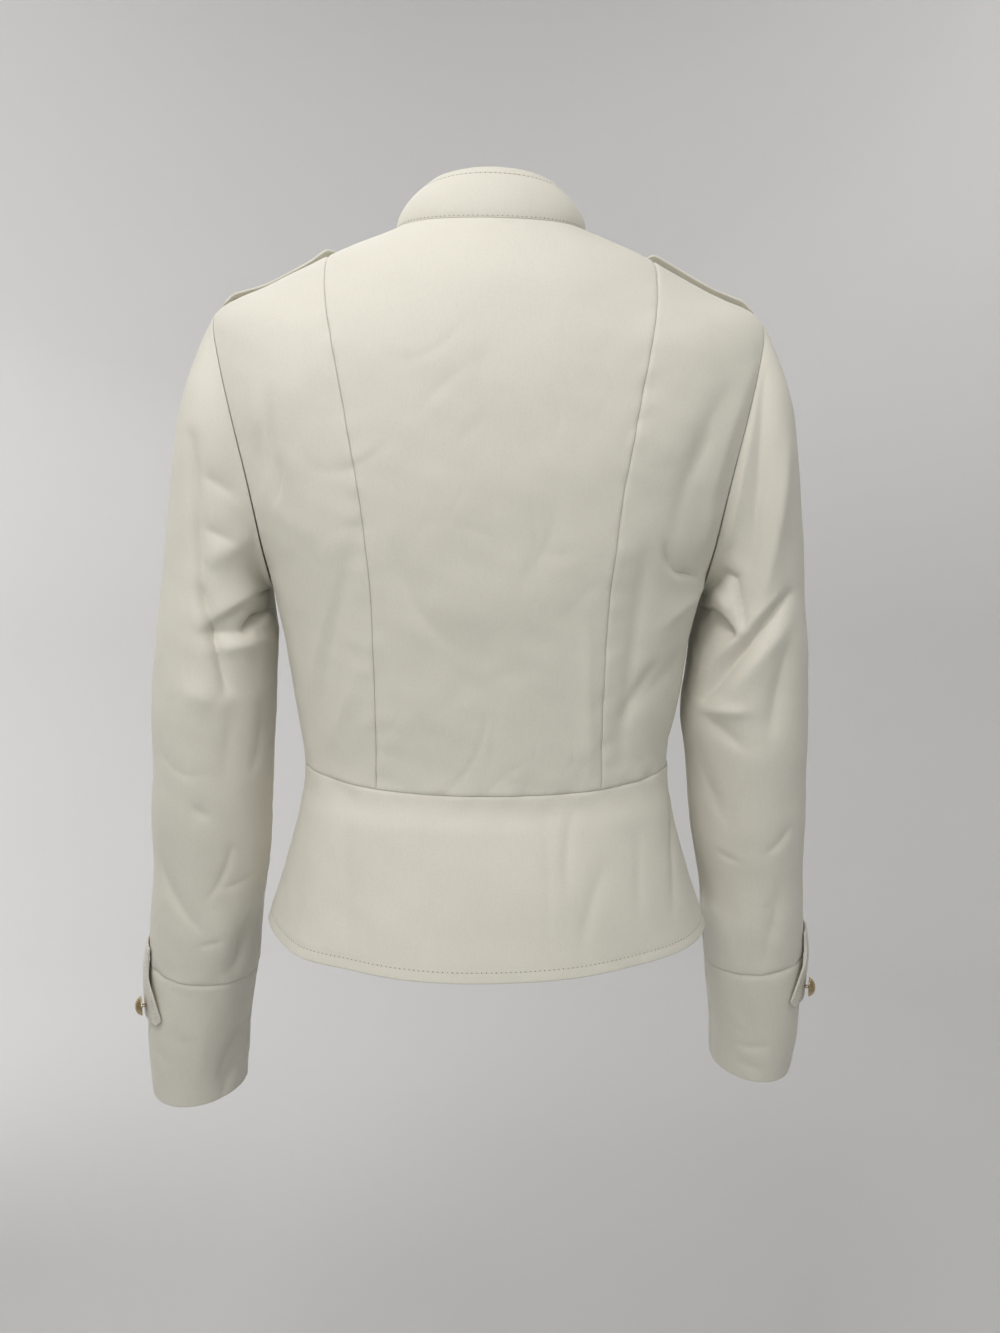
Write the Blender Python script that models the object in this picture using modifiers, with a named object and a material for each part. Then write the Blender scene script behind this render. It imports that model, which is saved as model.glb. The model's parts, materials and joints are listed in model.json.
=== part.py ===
"""Cropped zip jacket with a stand collar, princess seams, epaulettes, tabbed cuffs and a peplum.

The jacket keeps the hollow form of a worn garment. Its origin is at the middle of the neck, level
with the top of the shoulder seams: +Z is up, the fronts face -Y and the wearer's left is +X.
Every cloth piece is a thin wall on a surface that is worked out from the tables below.
"""
import math

import bmesh
import bpy
import numpy as np
from mathutils import Quaternion, Vector

# Cloth, metres
CLOTH = 0.0012              # one ply of sateen with its seam allowance behind it
DOUBLE_CLOTH = 0.0020       # two plies with interlining: collar, epaulettes and tabs
SEAM_GAP = 0.0007           # between the middles of two sewn edges: their corners come closer where they lean
ZIP_EDGE = 0.0042           # from the centre front to each front edge
SEAT_GAP = 0.0003           # between a piece and what it lies on
TAPE = 0.0008               # the zip tape's thickness
TAPE_ROOM = 0.0008          # between a tape and the flat facets of the panel it is sewn behind
TAPE_WIDTH = 0.0125         # from the centre front to a tape's outer edge

# Straps
EPAULETTE_MIDDLE_Y = -0.017             # the strap lies on the front slope of the shoulder
EPAULETTE_HALF_WIDTH = 0.0185
EPAULETTE_SLOPE = 0.384                 # its fall towards the front, per metre
EPAULETTE_ARCH = 3.0                    # its curve across, as 1 / metre
TAB_HALF_WIDTH = 0.0175
BUTTON_TILT = 12.0                      # a cuff's button leans forward by this on its shank, degrees
TAB_TOP = {1: -0.5445, -1: -0.532}       # height of each tab's sewn end

# Domed shank buttons
BUTTON_RADIUS = 0.0076
BUTTON_DOME = 0.0050
SHANK_RADIUS, SHANK_LENGTH = 0.0018, 0.0030

# Zip slider, pull and the box at the hem
SLIDER_HEIGHT = 0.62                    # where on the collar's height the slider's middle is
SLIDER_SIZE = (0.0076, 0.0038, 0.0110)
RING_RADIUS, RING_WIRE = 0.0030, 0.0005
HINGE_REACH = 0.00135                   # from the slider's face to the pull's hinge axis
PULL_SIZE = (0.0050, 0.0012, 0.0190)
PULL_WINDOW = (0.0024, 0.0040)          # width and height of the opening that clears the ring
ZIP_BOX_SIZE = (0.0074, 0.0030, 0.0080)
BOX_LIFT = 0.0046                       # the box's middle above the hem's edge

# Levels that the body's pieces share
NECK, SEAM_AT_SHOULDER, SHOULDER_TIP, UNDERARM, WAIST, HEM = 0, 2, 4, 9, 11, 15
SIDE, BACK_CENTRE, FRONT_CENTRE = 90.0, 0.0, 180.0      # turns round the body, degrees

ARMHOLE_STEPS = 12          # rows of a body panel beside the armhole, and half of a sleeve's columns
SIDE_SEAM_STEPS = 4         # rows from the underarm to the waist
NECK_STEPS, SHOULDER_STEPS = 6, 2       # columns of a centre panel that end on the neck and the shoulder
SIDE_PANEL_STEPS = 4        # columns of a side panel
SIDES = ((1, "left"), (-1, "right"))    # the wearer's left is +X


def columns(names, rows):
    """Give a table as one array for each named column."""
    return dict(zip(names.split(), np.array(rows, float).T))


BODY = columns("level half_width side_z back_z front_z side_y back_y front_y back_power front_power", [
    (0,  0.0675,  0.000, -0.005, -0.062,  0.000, 0.0560, -0.060, 2.0, 2.0),     # neck
    (1,  0.0930, -0.009, -0.028, -0.086,  0.000, 0.0690, -0.077, 2.0, 2.0),
    (2,  0.1160, -0.018, -0.049, -0.106,  0.000, 0.0785, -0.092, 2.0, 2.0),     # princess seams start
    (3,  0.1600, -0.040, -0.078, -0.130,  0.000, 0.0860, -0.108, 2.0, 2.0),
    (4,  0.1970, -0.058, -0.105, -0.152,  0.000, 0.0905, -0.120, 2.0, 2.1),     # shoulder tip
    (5,  0.2080, -0.088, -0.132, -0.175, -0.003, 0.0930, -0.130, 2.1, 2.2),
    (6,  0.2040, -0.130, -0.160, -0.198, -0.006, 0.0945, -0.138, 2.2, 2.3),
    (7,  0.1910, -0.175, -0.190, -0.220, -0.009, 0.0945, -0.143, 2.3, 2.4),
    (8,  0.1750, -0.217, -0.222, -0.242, -0.010, 0.0930, -0.145, 2.4, 2.5),
    (9,  0.1610, -0.256, -0.258, -0.266, -0.010, 0.0895, -0.142, 2.4, 2.5),     # underarm
    (10, 0.1485, -0.330, -0.334, -0.334, -0.009, 0.0815, -0.124, 2.4, 2.4),
    (11, 0.1400, -0.387, -0.397, -0.393, -0.006, 0.0770, -0.113, 2.4, 2.3),     # waist
    (12, 0.1440, -0.420, -0.424, -0.423, -0.004, 0.0860, -0.117, 2.4, 2.3),
    (13, 0.1525, -0.456, -0.456, -0.456, -0.002, 0.0985, -0.122, 2.3, 2.3),
    (14, 0.1625, -0.488, -0.488, -0.489,  0.000, 0.1095, -0.126, 2.2, 2.2),
    (15, 0.1700, -0.510, -0.515, -0.516,  0.000, 0.1185, -0.129, 2.2, 2.2),     # hem
])

# Distance of each seam from the centre line, by body level
BACK_PRINCESS = columns("level x", [
    (2, 0.116), (3, 0.1115), (4, 0.1055), (5, 0.0995), (6, 0.0938), (7, 0.0882), (8, 0.0845),
    (9, 0.0812), (10, 0.0795), (11, 0.0800),
])
FRONT_PRINCESS = columns("level x", [
    (2, 0.116), (3, 0.1130), (4, 0.1075), (5, 0.1020), (6, 0.0970), (7, 0.0930), (8, 0.0900),
    (9, 0.0860), (10, 0.0790), (11, 0.0760),
])
BACK_ARMHOLE = columns("level x", [
    (4, 0.1970), (4.5, 0.1935), (5, 0.1885), (6, 0.1785), (7, 0.1695), (8, 0.1635), (8.6, 0.1615), (9, 0.1610),
])
FRONT_ARMHOLE = columns("level x", [
    (4, 0.1970), (4.5, 0.1930), (5, 0.1840), (6, 0.1680), (7, 0.1580), (8, 0.1550), (8.6, 0.1575), (9, 0.1610),
])

# Stand collar: its top edge (the base is the neck)
COLLAR_TOP = columns("half_width side_z back_z front_z back_y front_y", [
    (0.0490, 0.0310, 0.0293, -0.030, 0.0465, -0.052)])
COLLAR_LIFT = 0.0009        # clear of the body panels' necks
COLLAR_BULGE = 0.0022       # how far the band rounds out between its edges
COLLAR_ROWS = 4

# Soft flutes of the peplum: turn, half width in turns, depth at the hem
FLUTES = columns("turn spread depth", [
    (-62, 16, 0.0022), (-34, 12, -0.0018), (8, 14, 0.0012), (34, 10, -0.0016), (47, 9, 0.0026),
    (72, 12, -0.0016), (112, 15, 0.0020), (146, 14, -0.0018), (-118, 15, 0.0020), (-148, 13, -0.0016),
])

# Sleeves: a row for each section, top down. x is the distance from the centre line; lean is how much
# higher the outer side is than the section's middle.
SLEEVE_COLUMNS = "along x y z half_width half_depth lean"
LEFT_SLEEVE = columns(SLEEVE_COLUMNS, [
    (1.0, 0.2022, -0.010, -0.243, 0.0380, 0.0580, 0.038),     # biceps
    (1.5, 0.2062, -0.009, -0.290, 0.0422, 0.0570, 0.020),
    (2.0, 0.2113, -0.008, -0.343, 0.0450, 0.0550, 0.008),     # elbow
    (2.5, 0.2142, -0.010, -0.395, 0.0447, 0.0530, 0.002),
    (3.0, 0.2175, -0.014, -0.449, 0.0450, 0.0510, 0.000),
    (3.5, 0.2240, -0.020, -0.510, 0.0430, 0.0490, 0.001),
    (4.0, 0.2310, -0.026, -0.563, 0.0420, 0.0470, 0.007),     # cuff seam
    (4.5, 0.2382, -0.031, -0.619, 0.0402, 0.0450, 0.001),
    (5.0, 0.2405, -0.036, -0.673, 0.0375, 0.0440, 0.000),     # cuff's edge
])
RIGHT_SLEEVE = columns(SLEEVE_COLUMNS, [
    (1.0, 0.1990, -0.010, -0.243, 0.0375, 0.0580, 0.038),
    (1.5, 0.2008, -0.009, -0.290, 0.0430, 0.0570, 0.020),
    (2.0, 0.2013, -0.008, -0.343, 0.0473, 0.0560, 0.008),
    (2.5, 0.2055, -0.010, -0.392, 0.0460, 0.0540, 0.002),
    (3.0, 0.2103, -0.014, -0.449, 0.0434, 0.0510, 0.000),
    (3.5, 0.2175, -0.020, -0.505, 0.0402, 0.0485, 0.001),
    (4.0, 0.2235, -0.026, -0.557, 0.0388, 0.0460, 0.007),
    (4.5, 0.2276, -0.031, -0.611, 0.0366, 0.0440, 0.001),
    (5.0, 0.2275, -0.036, -0.656, 0.0322, 0.0430, 0.000),
])
SLEEVES = {1: LEFT_SLEEVE, -1: RIGHT_SLEEVE}
CUFF_SEAM, CUFF_EDGE = 4.0, 5.0
CAP_ROWS = (0, 0.14, 0.34, 0.56, 0.78, 1.0)     # along, from the armhole to the biceps
TIP_LEAVE, UNDERARM_LEAVE = (0.50, -0.90), (1.10, 0.46)    # the cap's way out of the armhole: outward, up
BACK_LEAVE = 0.30           # and how far it leans back or forward beside them

# The largest folds of the sleeves: ends as (along, around in degrees), half width and depth in metres.
# Around runs from 0 on the outer side, over 90 at the back, to 180 at the underarm.
FOLD_COLUMNS = "along_0 around_0 along_1 around_1 half_width depth"
LEFT_FOLDS = columns(FOLD_COLUMNS, [
    (0.55, 60, 1.57, 95, 0.012, -0.0025),       # long crease down the back of the upper arm
    (1.39, 94, 0.80, 138, 0.014, -0.0065),      # deep fold above the elbow
    (1.52, 101, 1.27, 152, 0.013, 0.0045),      # and the roll of cloth under it
    (1.35, 250, 1.75, 320, 0.018, -0.0050),
    (2.90, 60, 3.50, 100, 0.018, -0.0025),
    (3.05, 150, 3.70, 120, 0.016, -0.0030),
])
RIGHT_FOLDS = columns(FOLD_COLUMNS, [
    (0.20, 62, 0.69, 106, 0.014, -0.0025),
    (1.23, 69, 1.80, 147, 0.014, -0.0065),      # great diagonal fold above the elbow
    (1.45, 80, 2.00, 140, 0.013, 0.0045),       # and the roll of cloth under it
    (1.37, 45, 2.00, 80, 0.014, -0.0025),
    (0.65, 155, 1.20, 122, 0.014, -0.0035),
    (1.35, 250, 1.80, 320, 0.018, -0.0050),
    (3.00, 100, 3.10, 150, 0.016, -0.0025),
])
FOLDS = {1: LEFT_FOLDS, -1: RIGHT_FOLDS}


# Epaulettes: x is the distance from the centre line, from the free end to the armhole; the lifts are how
# far each strap stands off the shoulder
EPAULETTE = columns("x width lift_left lift_right", [
    (0.1120, 0.45, 0.0036, 0.0016), (0.1190, 1.00, 0.0030, 0.0032), (0.1310, 1.00, 0.0008, 0.0032),
    (0.1470, 1.00, 0.0002, 0.0026), (0.1630, 1.00, 0.0002, 0.0024), (0.1780, 1.00, 0.0018, 0.0028),
    (0.1880, 1.00, 0.0024, 0.0026), (0.1940, 1.00, -0.0002, -0.0002),
])
EPAULETTE_BUTTON_ROW = 2

# Cuff tabs, from the sewn end down: around is each row's middle in degrees behind the sleeve's outer side, and
# wrap how much of the sleeve's curve the strap follows
TAB = columns("drop width lift wrap around", [
    (0.000, 1.00, 0.0002, 0.90, 14), (0.012, 1.00, 0.0012, 0.70, 17), (0.024, 1.00, 0.0022, 0.60, 23),
    (0.036, 1.00, 0.0016, 0.70, 31), (0.048, 1.00, 0.0006, 0.85, 37), (0.055, 0.95, 0.0002, 0.95, 40),
    (0.060, 0.60, 0.0002, 0.95, 41),
])
TAB_BUTTON_ROW = 4


def smooth(knots, values, at):
    """Read a smooth curve through a table's values."""
    slopes = np.gradient(values, knots)
    place = np.clip(np.searchsorted(knots, at, side="right") - 1, 0, len(knots) - 2)
    span = knots[place + 1] - knots[place]
    part = (at - knots[place]) / span
    rise = values[place + 1] - values[place]
    return (values[place] + rise * part ** 2 * (3 - 2 * part)
            + span * part * (1 - part) * (slopes[place] * (1 - part) - slopes[place + 1] * part))


def read(table, name, at):
    """Read one column of a table at a place along its first column."""
    knots = next(iter(table.values()))
    return smooth(knots, table[name], np.asarray(at, float))


def flute(turn, level):
    """How far the peplum's flutes stand out or in, from nothing at the waist."""
    swing = np.zeros(np.broadcast(turn, level).shape)
    for centre, spread, depth in zip(*FLUTES.values()):
        swing = swing + depth * np.exp(-((turn - centre) / spread) ** 2)
    return swing * np.clip((level - WAIST) / (HEM - WAIST), 0, 1) ** 1.3


def body_point(level, turn, side=1):
    """Point on the body: turn goes from the back centre (0) past the side (90) to the front (180)."""
    level, turn = np.broadcast_arrays(np.asarray(level, float), np.asarray(turn, float))
    behind = turn <= SIDE
    angle = np.radians(np.where(behind, turn, FRONT_CENTRE - turn))
    power = np.where(behind, read(BODY, "back_power", level), read(BODY, "front_power", level))
    depth = np.where(behind, read(BODY, "back_y", level), read(BODY, "front_y", level))
    end_z = np.where(behind, read(BODY, "back_z", level), read(BODY, "front_z", level))
    side_y, side_z = read(BODY, "side_y", level), read(BODY, "side_z", level)
    wide = np.abs(np.sin(angle)) ** (2 / power)
    deep = np.abs(np.cos(angle)) ** (2 / power)
    out = flute(turn * side, level)
    x = (read(BODY, "half_width", level) + out) * wide
    y = side_y + (depth + np.sign(depth) * out - side_y) * deep
    z = side_z + (end_z - side_z) * np.cos(angle) ** 2
    return np.stack([x * side, y, z], -1)


def seam_turn(level, x, front=False):
    """Turn at which the body's ring at a level is x from the centre line."""
    power = read(BODY, "front_power" if front else "back_power", level)
    share = np.clip(np.asarray(x) / read(BODY, "half_width", level), 0, 1)
    turn = np.degrees(np.arcsin(share ** (power / 2)))
    return FRONT_CENTRE - turn if front else turn


def seam(table, level, front=False):
    """Places (level, turn) along a seam given by its table."""
    return np.stack([level, seam_turn(level, read(table, "x", level), front)], -1)


def side_levels(top):
    """Levels of a panel edge's rows, from its top past the underarm down to the waist."""
    upper = np.linspace(top, UNDERARM, ARMHOLE_STEPS + 1)
    return np.append(upper, np.linspace(UNDERARM, WAIST, SIDE_SEAM_STEPS + 1)[1:])


def armhole_levels():
    """Levels round half of the armhole, close together at the shoulder tip and the underarm."""
    swing = np.linspace(0, math.pi, ARMHOLE_STEPS + 1)
    return SHOULDER_TIP + (UNDERARM - SHOULDER_TIP) * (1 - np.cos(swing)) / 2


def armhole(front=False):
    """Places (level, turn) down half of the armhole, from the shoulder tip to the underarm."""
    return seam(FRONT_ARMHOLE if front else BACK_ARMHOLE, armhole_levels(), front)


def patch(top, bottom, start, end):
    """Fill four edges of places with a grid: top and bottom run across, start and end run down."""
    across = np.linspace(0, 1, len(top))[None, :, None]
    down = np.linspace(0, 1, len(start))[:, None, None]
    ruled = (1 - down) * top[None] + down * bottom[None] + (1 - across) * start[:, None] + across * end[:, None]
    corners = ((1 - down) * ((1 - across) * top[0] + across * top[-1])
               + down * ((1 - across) * bottom[0] + across * bottom[-1]))
    return ruled - corners


def pull_in(points, gap=SEAM_GAP, edges="top bottom start end"):
    """Draw a grid's edges back by half a seam gap."""
    points = points.copy()
    pairs = {"top": (points[0], points[1]), "bottom": (points[-1], points[-2]),
             "start": (points[:, 0], points[:, 1]), "end": (points[:, -1], points[:, -2])}
    for name in edges.split():
        edge, inner = pairs[name]
        way = inner - edge
        edge += way / np.linalg.norm(way, axis=-1, keepdims=True) * gap / 2
    return points


def places(level_0, level_1, turn_0, turn_1, count):
    """Places (level, turn) evenly along a straight run."""
    return np.linspace((level_0, turn_0), (level_1, turn_1), count)


def material(name, colour, roughness, metallic=0.0):
    """Make a plain finish."""
    finish = bpy.data.materials.new(name)
    finish.use_nodes = True
    shader = finish.node_tree.nodes["Principled BSDF"]
    shader.inputs["Base Color"].default_value = (*colour, 1)
    shader.inputs["Roughness"].default_value = roughness
    shader.inputs["Metallic"].default_value = metallic
    return finish


def add_object(name, mesh, finish):
    """Put a mesh into the jacket's collection as one named piece."""
    data = bpy.data.meshes.new(name)
    mesh.to_mesh(data)
    mesh.free()
    piece = bpy.data.objects.new(name, data)
    bpy.data.collections["cropped zip jacket"].objects.link(piece)
    data.materials.append(material(name, *finish))
    data.shade_smooth()
    data.set_sharp_from_angle(angle=math.radians(40))
    return piece


def cloth(name, points, thickness=CLOTH, finish=((0.70, 0.67, 0.60), 0.75), tube=False):
    """Make one cut piece: a grid of points (rows, columns) given the cloth's thickness."""
    rows, across = points.shape[:2]
    mesh = bmesh.new()
    bmesh.ops.create_grid(mesh, x_segments=across - 1, y_segments=rows - 1, size=1)
    for vert, place in zip(mesh.verts, points.reshape(-1, 3)):
        vert.co = place
    if tube:
        bmesh.ops.remove_doubles(mesh, verts=mesh.verts, dist=1e-5)
    piece = add_object(name, mesh, finish)
    wall = piece.modifiers.new("wall", "SOLIDIFY")
    wall.thickness = thickness
    wall.offset = 0
    return piece


def neck_x(edge_x):
    """Distances from the centre line of a half neck's columns, from its centre edge to the shoulder."""
    across = np.sin(np.linspace(0, math.pi / 2, NECK_STEPS + 1)) * read(BODY, "half_width", NECK)
    across[0] = edge_x
    return across


def centre_places(edge_x, princess_table, front):
    """Places over a centre panel, from its centre edge to the princess seam."""
    centre_down = side_levels(NECK)
    princess_down = side_levels(SEAM_AT_SHOULDER)
    princess = np.stack([princess_down, read(princess_table, "x", princess_down)], -1)
    shoulder = np.linspace(NECK, SEAM_AT_SHOULDER, SHOULDER_STEPS + 1)[1:]
    neck = neck_x(edge_x)
    top = np.concatenate([np.stack([np.full_like(neck, NECK), neck], -1),
                          np.stack([shoulder, read(BODY, "half_width", shoulder)], -1)])
    bottom = places(WAIST, WAIST, edge_x, princess[-1, 1], len(top))
    edge = np.stack([centre_down, np.full_like(centre_down, edge_x)], -1)
    grid = patch(top, bottom, edge, princess)
    return grid[..., 0], seam_turn(grid[..., 0], grid[..., 1], front)


def side_places(princess_table, front):
    """Places over a side panel, from the princess seam to the armhole and the side seam."""
    princess = seam(princess_table, side_levels(SEAM_AT_SHOULDER), front)
    outer = np.concatenate([armhole(front), places(UNDERARM, WAIST, SIDE, SIDE, SIDE_SEAM_STEPS + 1)[1:]])
    top = places(SEAM_AT_SHOULDER, SHOULDER_TIP, SIDE, SIDE, SIDE_PANEL_STEPS + 1)
    bottom = places(WAIST, WAIST, princess[-1, 1], SIDE, SIDE_PANEL_STEPS + 1)
    grid = patch(top, bottom, princess, outer)
    return grid[..., 0], grid[..., 1]


def build_back():
    """Centre back and the two side backs."""
    level, turn = centre_places(0.0, BACK_PRINCESS, front=False)
    left, right = (body_point(level, turn, side) for side in (1, -1))
    cloth("back_centre", pull_in(np.concatenate([right[:, :0:-1], left], axis=1)))
    level, turn = side_places(BACK_PRINCESS, front=False)
    for side, label in SIDES:
        cloth("back_side_" + label, pull_in(body_point(level, turn, side)))


def build_front():
    """Side fronts and centre fronts, each side of the zip."""
    centre = centre_places(ZIP_EDGE, FRONT_PRINCESS, front=True)
    beside = side_places(FRONT_PRINCESS, front=True)
    for side, label in SIDES:
        cloth("front_side_" + label, pull_in(body_point(*beside, side)))
        cloth("front_centre_" + label, pull_in(body_point(*centre, side)))


def build_peplum():
    """The flared band below the waist: one back and two fronts."""
    levels = np.linspace(WAIST, HEM, 6)
    half = np.linspace(BACK_CENTRE, SIDE, 10)
    grid = np.meshgrid(levels, half, indexing="ij")
    left, right = (body_point(*grid, side) for side in (1, -1))
    cloth("peplum_back", pull_in(np.concatenate([right[:, :0:-1], left], axis=1)))
    edge = np.stack([levels, seam_turn(levels, ZIP_EDGE, front=True)], -1)
    side_edge = np.stack([levels, np.full_like(levels, SIDE)], -1)
    grid = patch(places(WAIST, WAIST, edge[0, 1], SIDE, 10), places(HEM, HEM, edge[-1, 1], SIDE, 10),
                 edge, side_edge)
    for side, label in SIDES:
        cloth("peplum_front_" + label, pull_in(body_point(grid[..., 0], grid[..., 1], side)))


def collar_point(height, turn, side=1):
    """Point on the stand collar: height goes from its base (0) to its top edge (1)."""
    height, turn = np.broadcast_arrays(np.asarray(height, float), np.asarray(turn, float))
    base = body_point(np.zeros_like(turn), turn, side)
    behind = turn <= SIDE
    angle = np.radians(turn)
    top = {name: values[0] for name, values in COLLAR_TOP.items()}
    end_z = np.where(behind, top["back_z"], top["front_z"])
    x = side * top["half_width"] * np.sin(angle)
    y = np.where(behind, top["back_y"], -top["front_y"]) * np.cos(angle)
    z = top["side_z"] + (end_z - top["side_z"]) * np.cos(angle) ** 2
    point = base + (np.stack([x, y, z], -1) - base) * height[..., None]
    bulge = COLLAR_BULGE * 4 * height * (1 - height)
    away = np.stack([side * np.sin(angle), np.cos(angle), np.zeros_like(angle)], -1)
    return point + away * bulge[..., None] + np.array((0, 0, COLLAR_LIFT))


def collar_front_turn(height, x):
    """Turn at which the front of the collar is x from the centre line."""
    straight = read(BODY, "half_width", NECK) * (1 - height) + COLLAR_TOP["half_width"][0] * height
    return FRONT_CENTRE - np.degrees(np.arcsin(x / (straight + COLLAR_BULGE * 4 * height * (1 - height))))


def build_collar():
    """The stand collar, from one front edge round the back to the other."""
    turns = np.append(seam_turn(NECK, neck_x(0.0)), seam_turn(NECK, neck_x(ZIP_EDGE), front=True)[-2::-1])
    height, turn = np.meshgrid(np.linspace(0, 1, COLLAR_ROWS), turns, indexing="ij")
    turn[:, -1] = collar_front_turn(height[:, -1], ZIP_EDGE)
    left, right = (collar_point(height, turn, side) for side in (1, -1))
    cloth("collar", np.concatenate([right[:, :0:-1], left], axis=1), DOUBLE_CLOTH)


def sleeve_ring(table, along, around, side):
    """Point on the sleeve below the cap."""
    angle = np.radians(around)
    outward = np.cos(angle)
    x = read(table, "x", along) + read(table, "half_width", along) * outward
    y = read(table, "y", along) + read(table, "half_depth", along) * np.sin(angle)
    z = read(table, "z", along) + read(table, "lean", along) * outward
    return np.stack([x * side, y, z], -1)


def armhole_start(around, side):
    """Where the sleeve starts: the armhole's edge, moved out of the body by the seam's room."""
    turned = np.abs((np.asarray(around, float) + 180) % 360 - 180)
    level = SHOULDER_TIP + (UNDERARM - SHOULDER_TIP) * (1 - np.cos(np.radians(turned))) / 2
    front = np.asarray(around, float) % 360 > 180
    behind_turn = seam_turn(level, read(BACK_ARMHOLE, "x", level))
    front_turn = seam_turn(level, read(FRONT_ARMHOLE, "x", level), front=True)
    point = body_point(level, np.where(front, front_turn, behind_turn), side)
    under = (1 - np.cos(np.radians(around))) / 2
    room = SEAM_GAP + (CLOTH + 0.0004) * under ** 2
    point[..., 0] += side * room
    return point


def sleeve_point(along, around, side):
    """Point on the sleeve: along goes from the armhole (0) past the biceps (1) to the cuff's edge."""
    table = SLEEVES[side]
    along, around = np.broadcast_arrays(np.asarray(along, float), np.asarray(around, float))
    lower = sleeve_ring(table, np.maximum(along, 1), around, side)
    start = armhole_start(around, side)
    end = sleeve_ring(table, np.ones_like(along), around, side)
    reach = np.linalg.norm(end - start, axis=-1, keepdims=True)
    tip = (1 + np.cos(np.radians(around))) / 2
    out, up = (low + (high - low) * tip for low, high in zip(UNDERARM_LEAVE, TIP_LEAVE))
    leave = np.stack([side * out, BACK_LEAVE * np.sin(np.radians(around)), up], -1) * reach
    arrive = sleeve_ring(table, np.full_like(along, 1.1), around, side) - end
    arrive = arrive / np.linalg.norm(arrive, axis=-1, keepdims=True) * reach
    t = np.minimum(along, 1)[..., None]
    cap = (start * (2 * t ** 3 - 3 * t ** 2 + 1) + end * (3 * t ** 2 - 2 * t ** 3)
           + leave * (t ** 3 - 2 * t ** 2 + t) + arrive * (t ** 3 - t ** 2))
    return np.where((along < 1)[..., None], cap, lower)


def fold_depth(along, around, folds, length_step=0.105, round_step=0.00085):
    """Sum of the folds at a place on a sleeve, in metres outwards; the steps give its flat size."""
    total = np.zeros(np.broadcast(along, around).shape)
    for a_0, r_0, a_1, r_1, half_width, depth in zip(*folds.values()):
        start = np.array((a_0 * length_step, r_0 * round_step))
        way = np.array((a_1 * length_step, r_1 * round_step)) - start
        length = np.linalg.norm(way)
        middle = (r_0 + r_1) / 2
        turned = (around - middle + 180) % 360 - 180 + middle
        here = np.stack([along * length_step, turned * round_step], -1) - start
        part = np.clip(here @ way / length ** 2, 0, 1)
        away = np.linalg.norm(here - part[..., None] * way, axis=-1)
        taper = np.sin(math.pi * np.clip(part * 0.86 + 0.07, 0, 1)) ** 0.7
        total = total + depth * taper * np.exp(-(away / half_width) ** 2)
    return total


def folded_sleeve(along, around, side):
    """The sleeve with its folds, each pushed along the sleeve's own outward direction."""
    along, around = np.broadcast_arrays(np.asarray(along, float), np.asarray(around, float))
    point = sleeve_point(along, around, side)
    angle = np.radians(around)
    away = np.stack([side * np.cos(angle), np.sin(angle), np.zeros_like(angle)], -1)
    return point + away * fold_depth(along, around, FOLDS[side])[..., None]


def build_sleeve(side, label):
    """A sleeve set into its armhole, and its cuff."""
    around = np.linspace(0, 360, 2 * ARMHOLE_STEPS + 1)
    along = np.concatenate([CAP_ROWS, np.linspace(1.2, CUFF_SEAM, 13)])
    grid = folded_sleeve(*np.meshgrid(along, around, indexing="ij"), side)
    cloth("sleeve_" + label, pull_in(grid, edges="bottom"), tube=True)
    around = np.linspace(0, 360, 25)
    grid = folded_sleeve(*np.meshgrid(np.linspace(CUFF_SEAM, CUFF_EDGE, 4), around, indexing="ij"), side)
    cloth("cuff_" + label, pull_in(grid, edges="top"), tube=True)


def strap_grid(middle, across, bend):
    """Lay a strap's points on a middle line: across is its half width, bend its edges' fall."""
    share = np.linspace(-1, 1, 5)[None, :, None]
    return middle[:, None] + across[:, None] * share + bend[:, None] * share ** 2


def ridge_z(x):
    """Height of the shoulder seam at a distance from the centre line."""
    level = np.linspace(NECK, SHOULDER_TIP, 40)
    return np.interp(x, read(BODY, "half_width", level), read(BODY, "side_z", level))


def epaulette_middle(side):
    """The strap's middle line, just clear of the shoulder: arrays of points."""
    x = EPAULETTE["x"]
    clear = (CLOTH + DOUBLE_CLOTH) / 2 + SEAT_GAP
    touch = EPAULETTE_SLOPE * EPAULETTE_MIDDLE_Y / 2
    z = ridge_z(x) + touch + clear + EPAULETTE["lift_left" if side > 0 else "lift_right"]
    return np.stack([side * x, np.full_like(x, EPAULETTE_MIDDLE_Y), z], -1)


def build_epaulette(side, label):
    """A shoulder strap, sewn in at the armhole, with its free end towards the neck, and its button."""
    middle = epaulette_middle(side)
    half = EPAULETTE_HALF_WIDTH * EPAULETTE["width"]
    across = np.stack([0 * half, half, EPAULETTE_SLOPE * half], -1)
    droop = np.stack([0 * half, 0 * half, -EPAULETTE_ARCH * half ** 2], -1)
    cloth("epaulette_" + label, strap_grid(middle, across, droop), DOUBLE_CLOTH)
    row = EPAULETTE_BUTTON_ROW
    facing = Vector(np.cross(middle[row + 1] - middle[row - 1], across[row])).normalized() * side
    seat = Vector(middle[row]) + facing * (DOUBLE_CLOTH / 2 + SEAT_GAP)
    build_button("epaulette_button_" + label, seat, facing)


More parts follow.
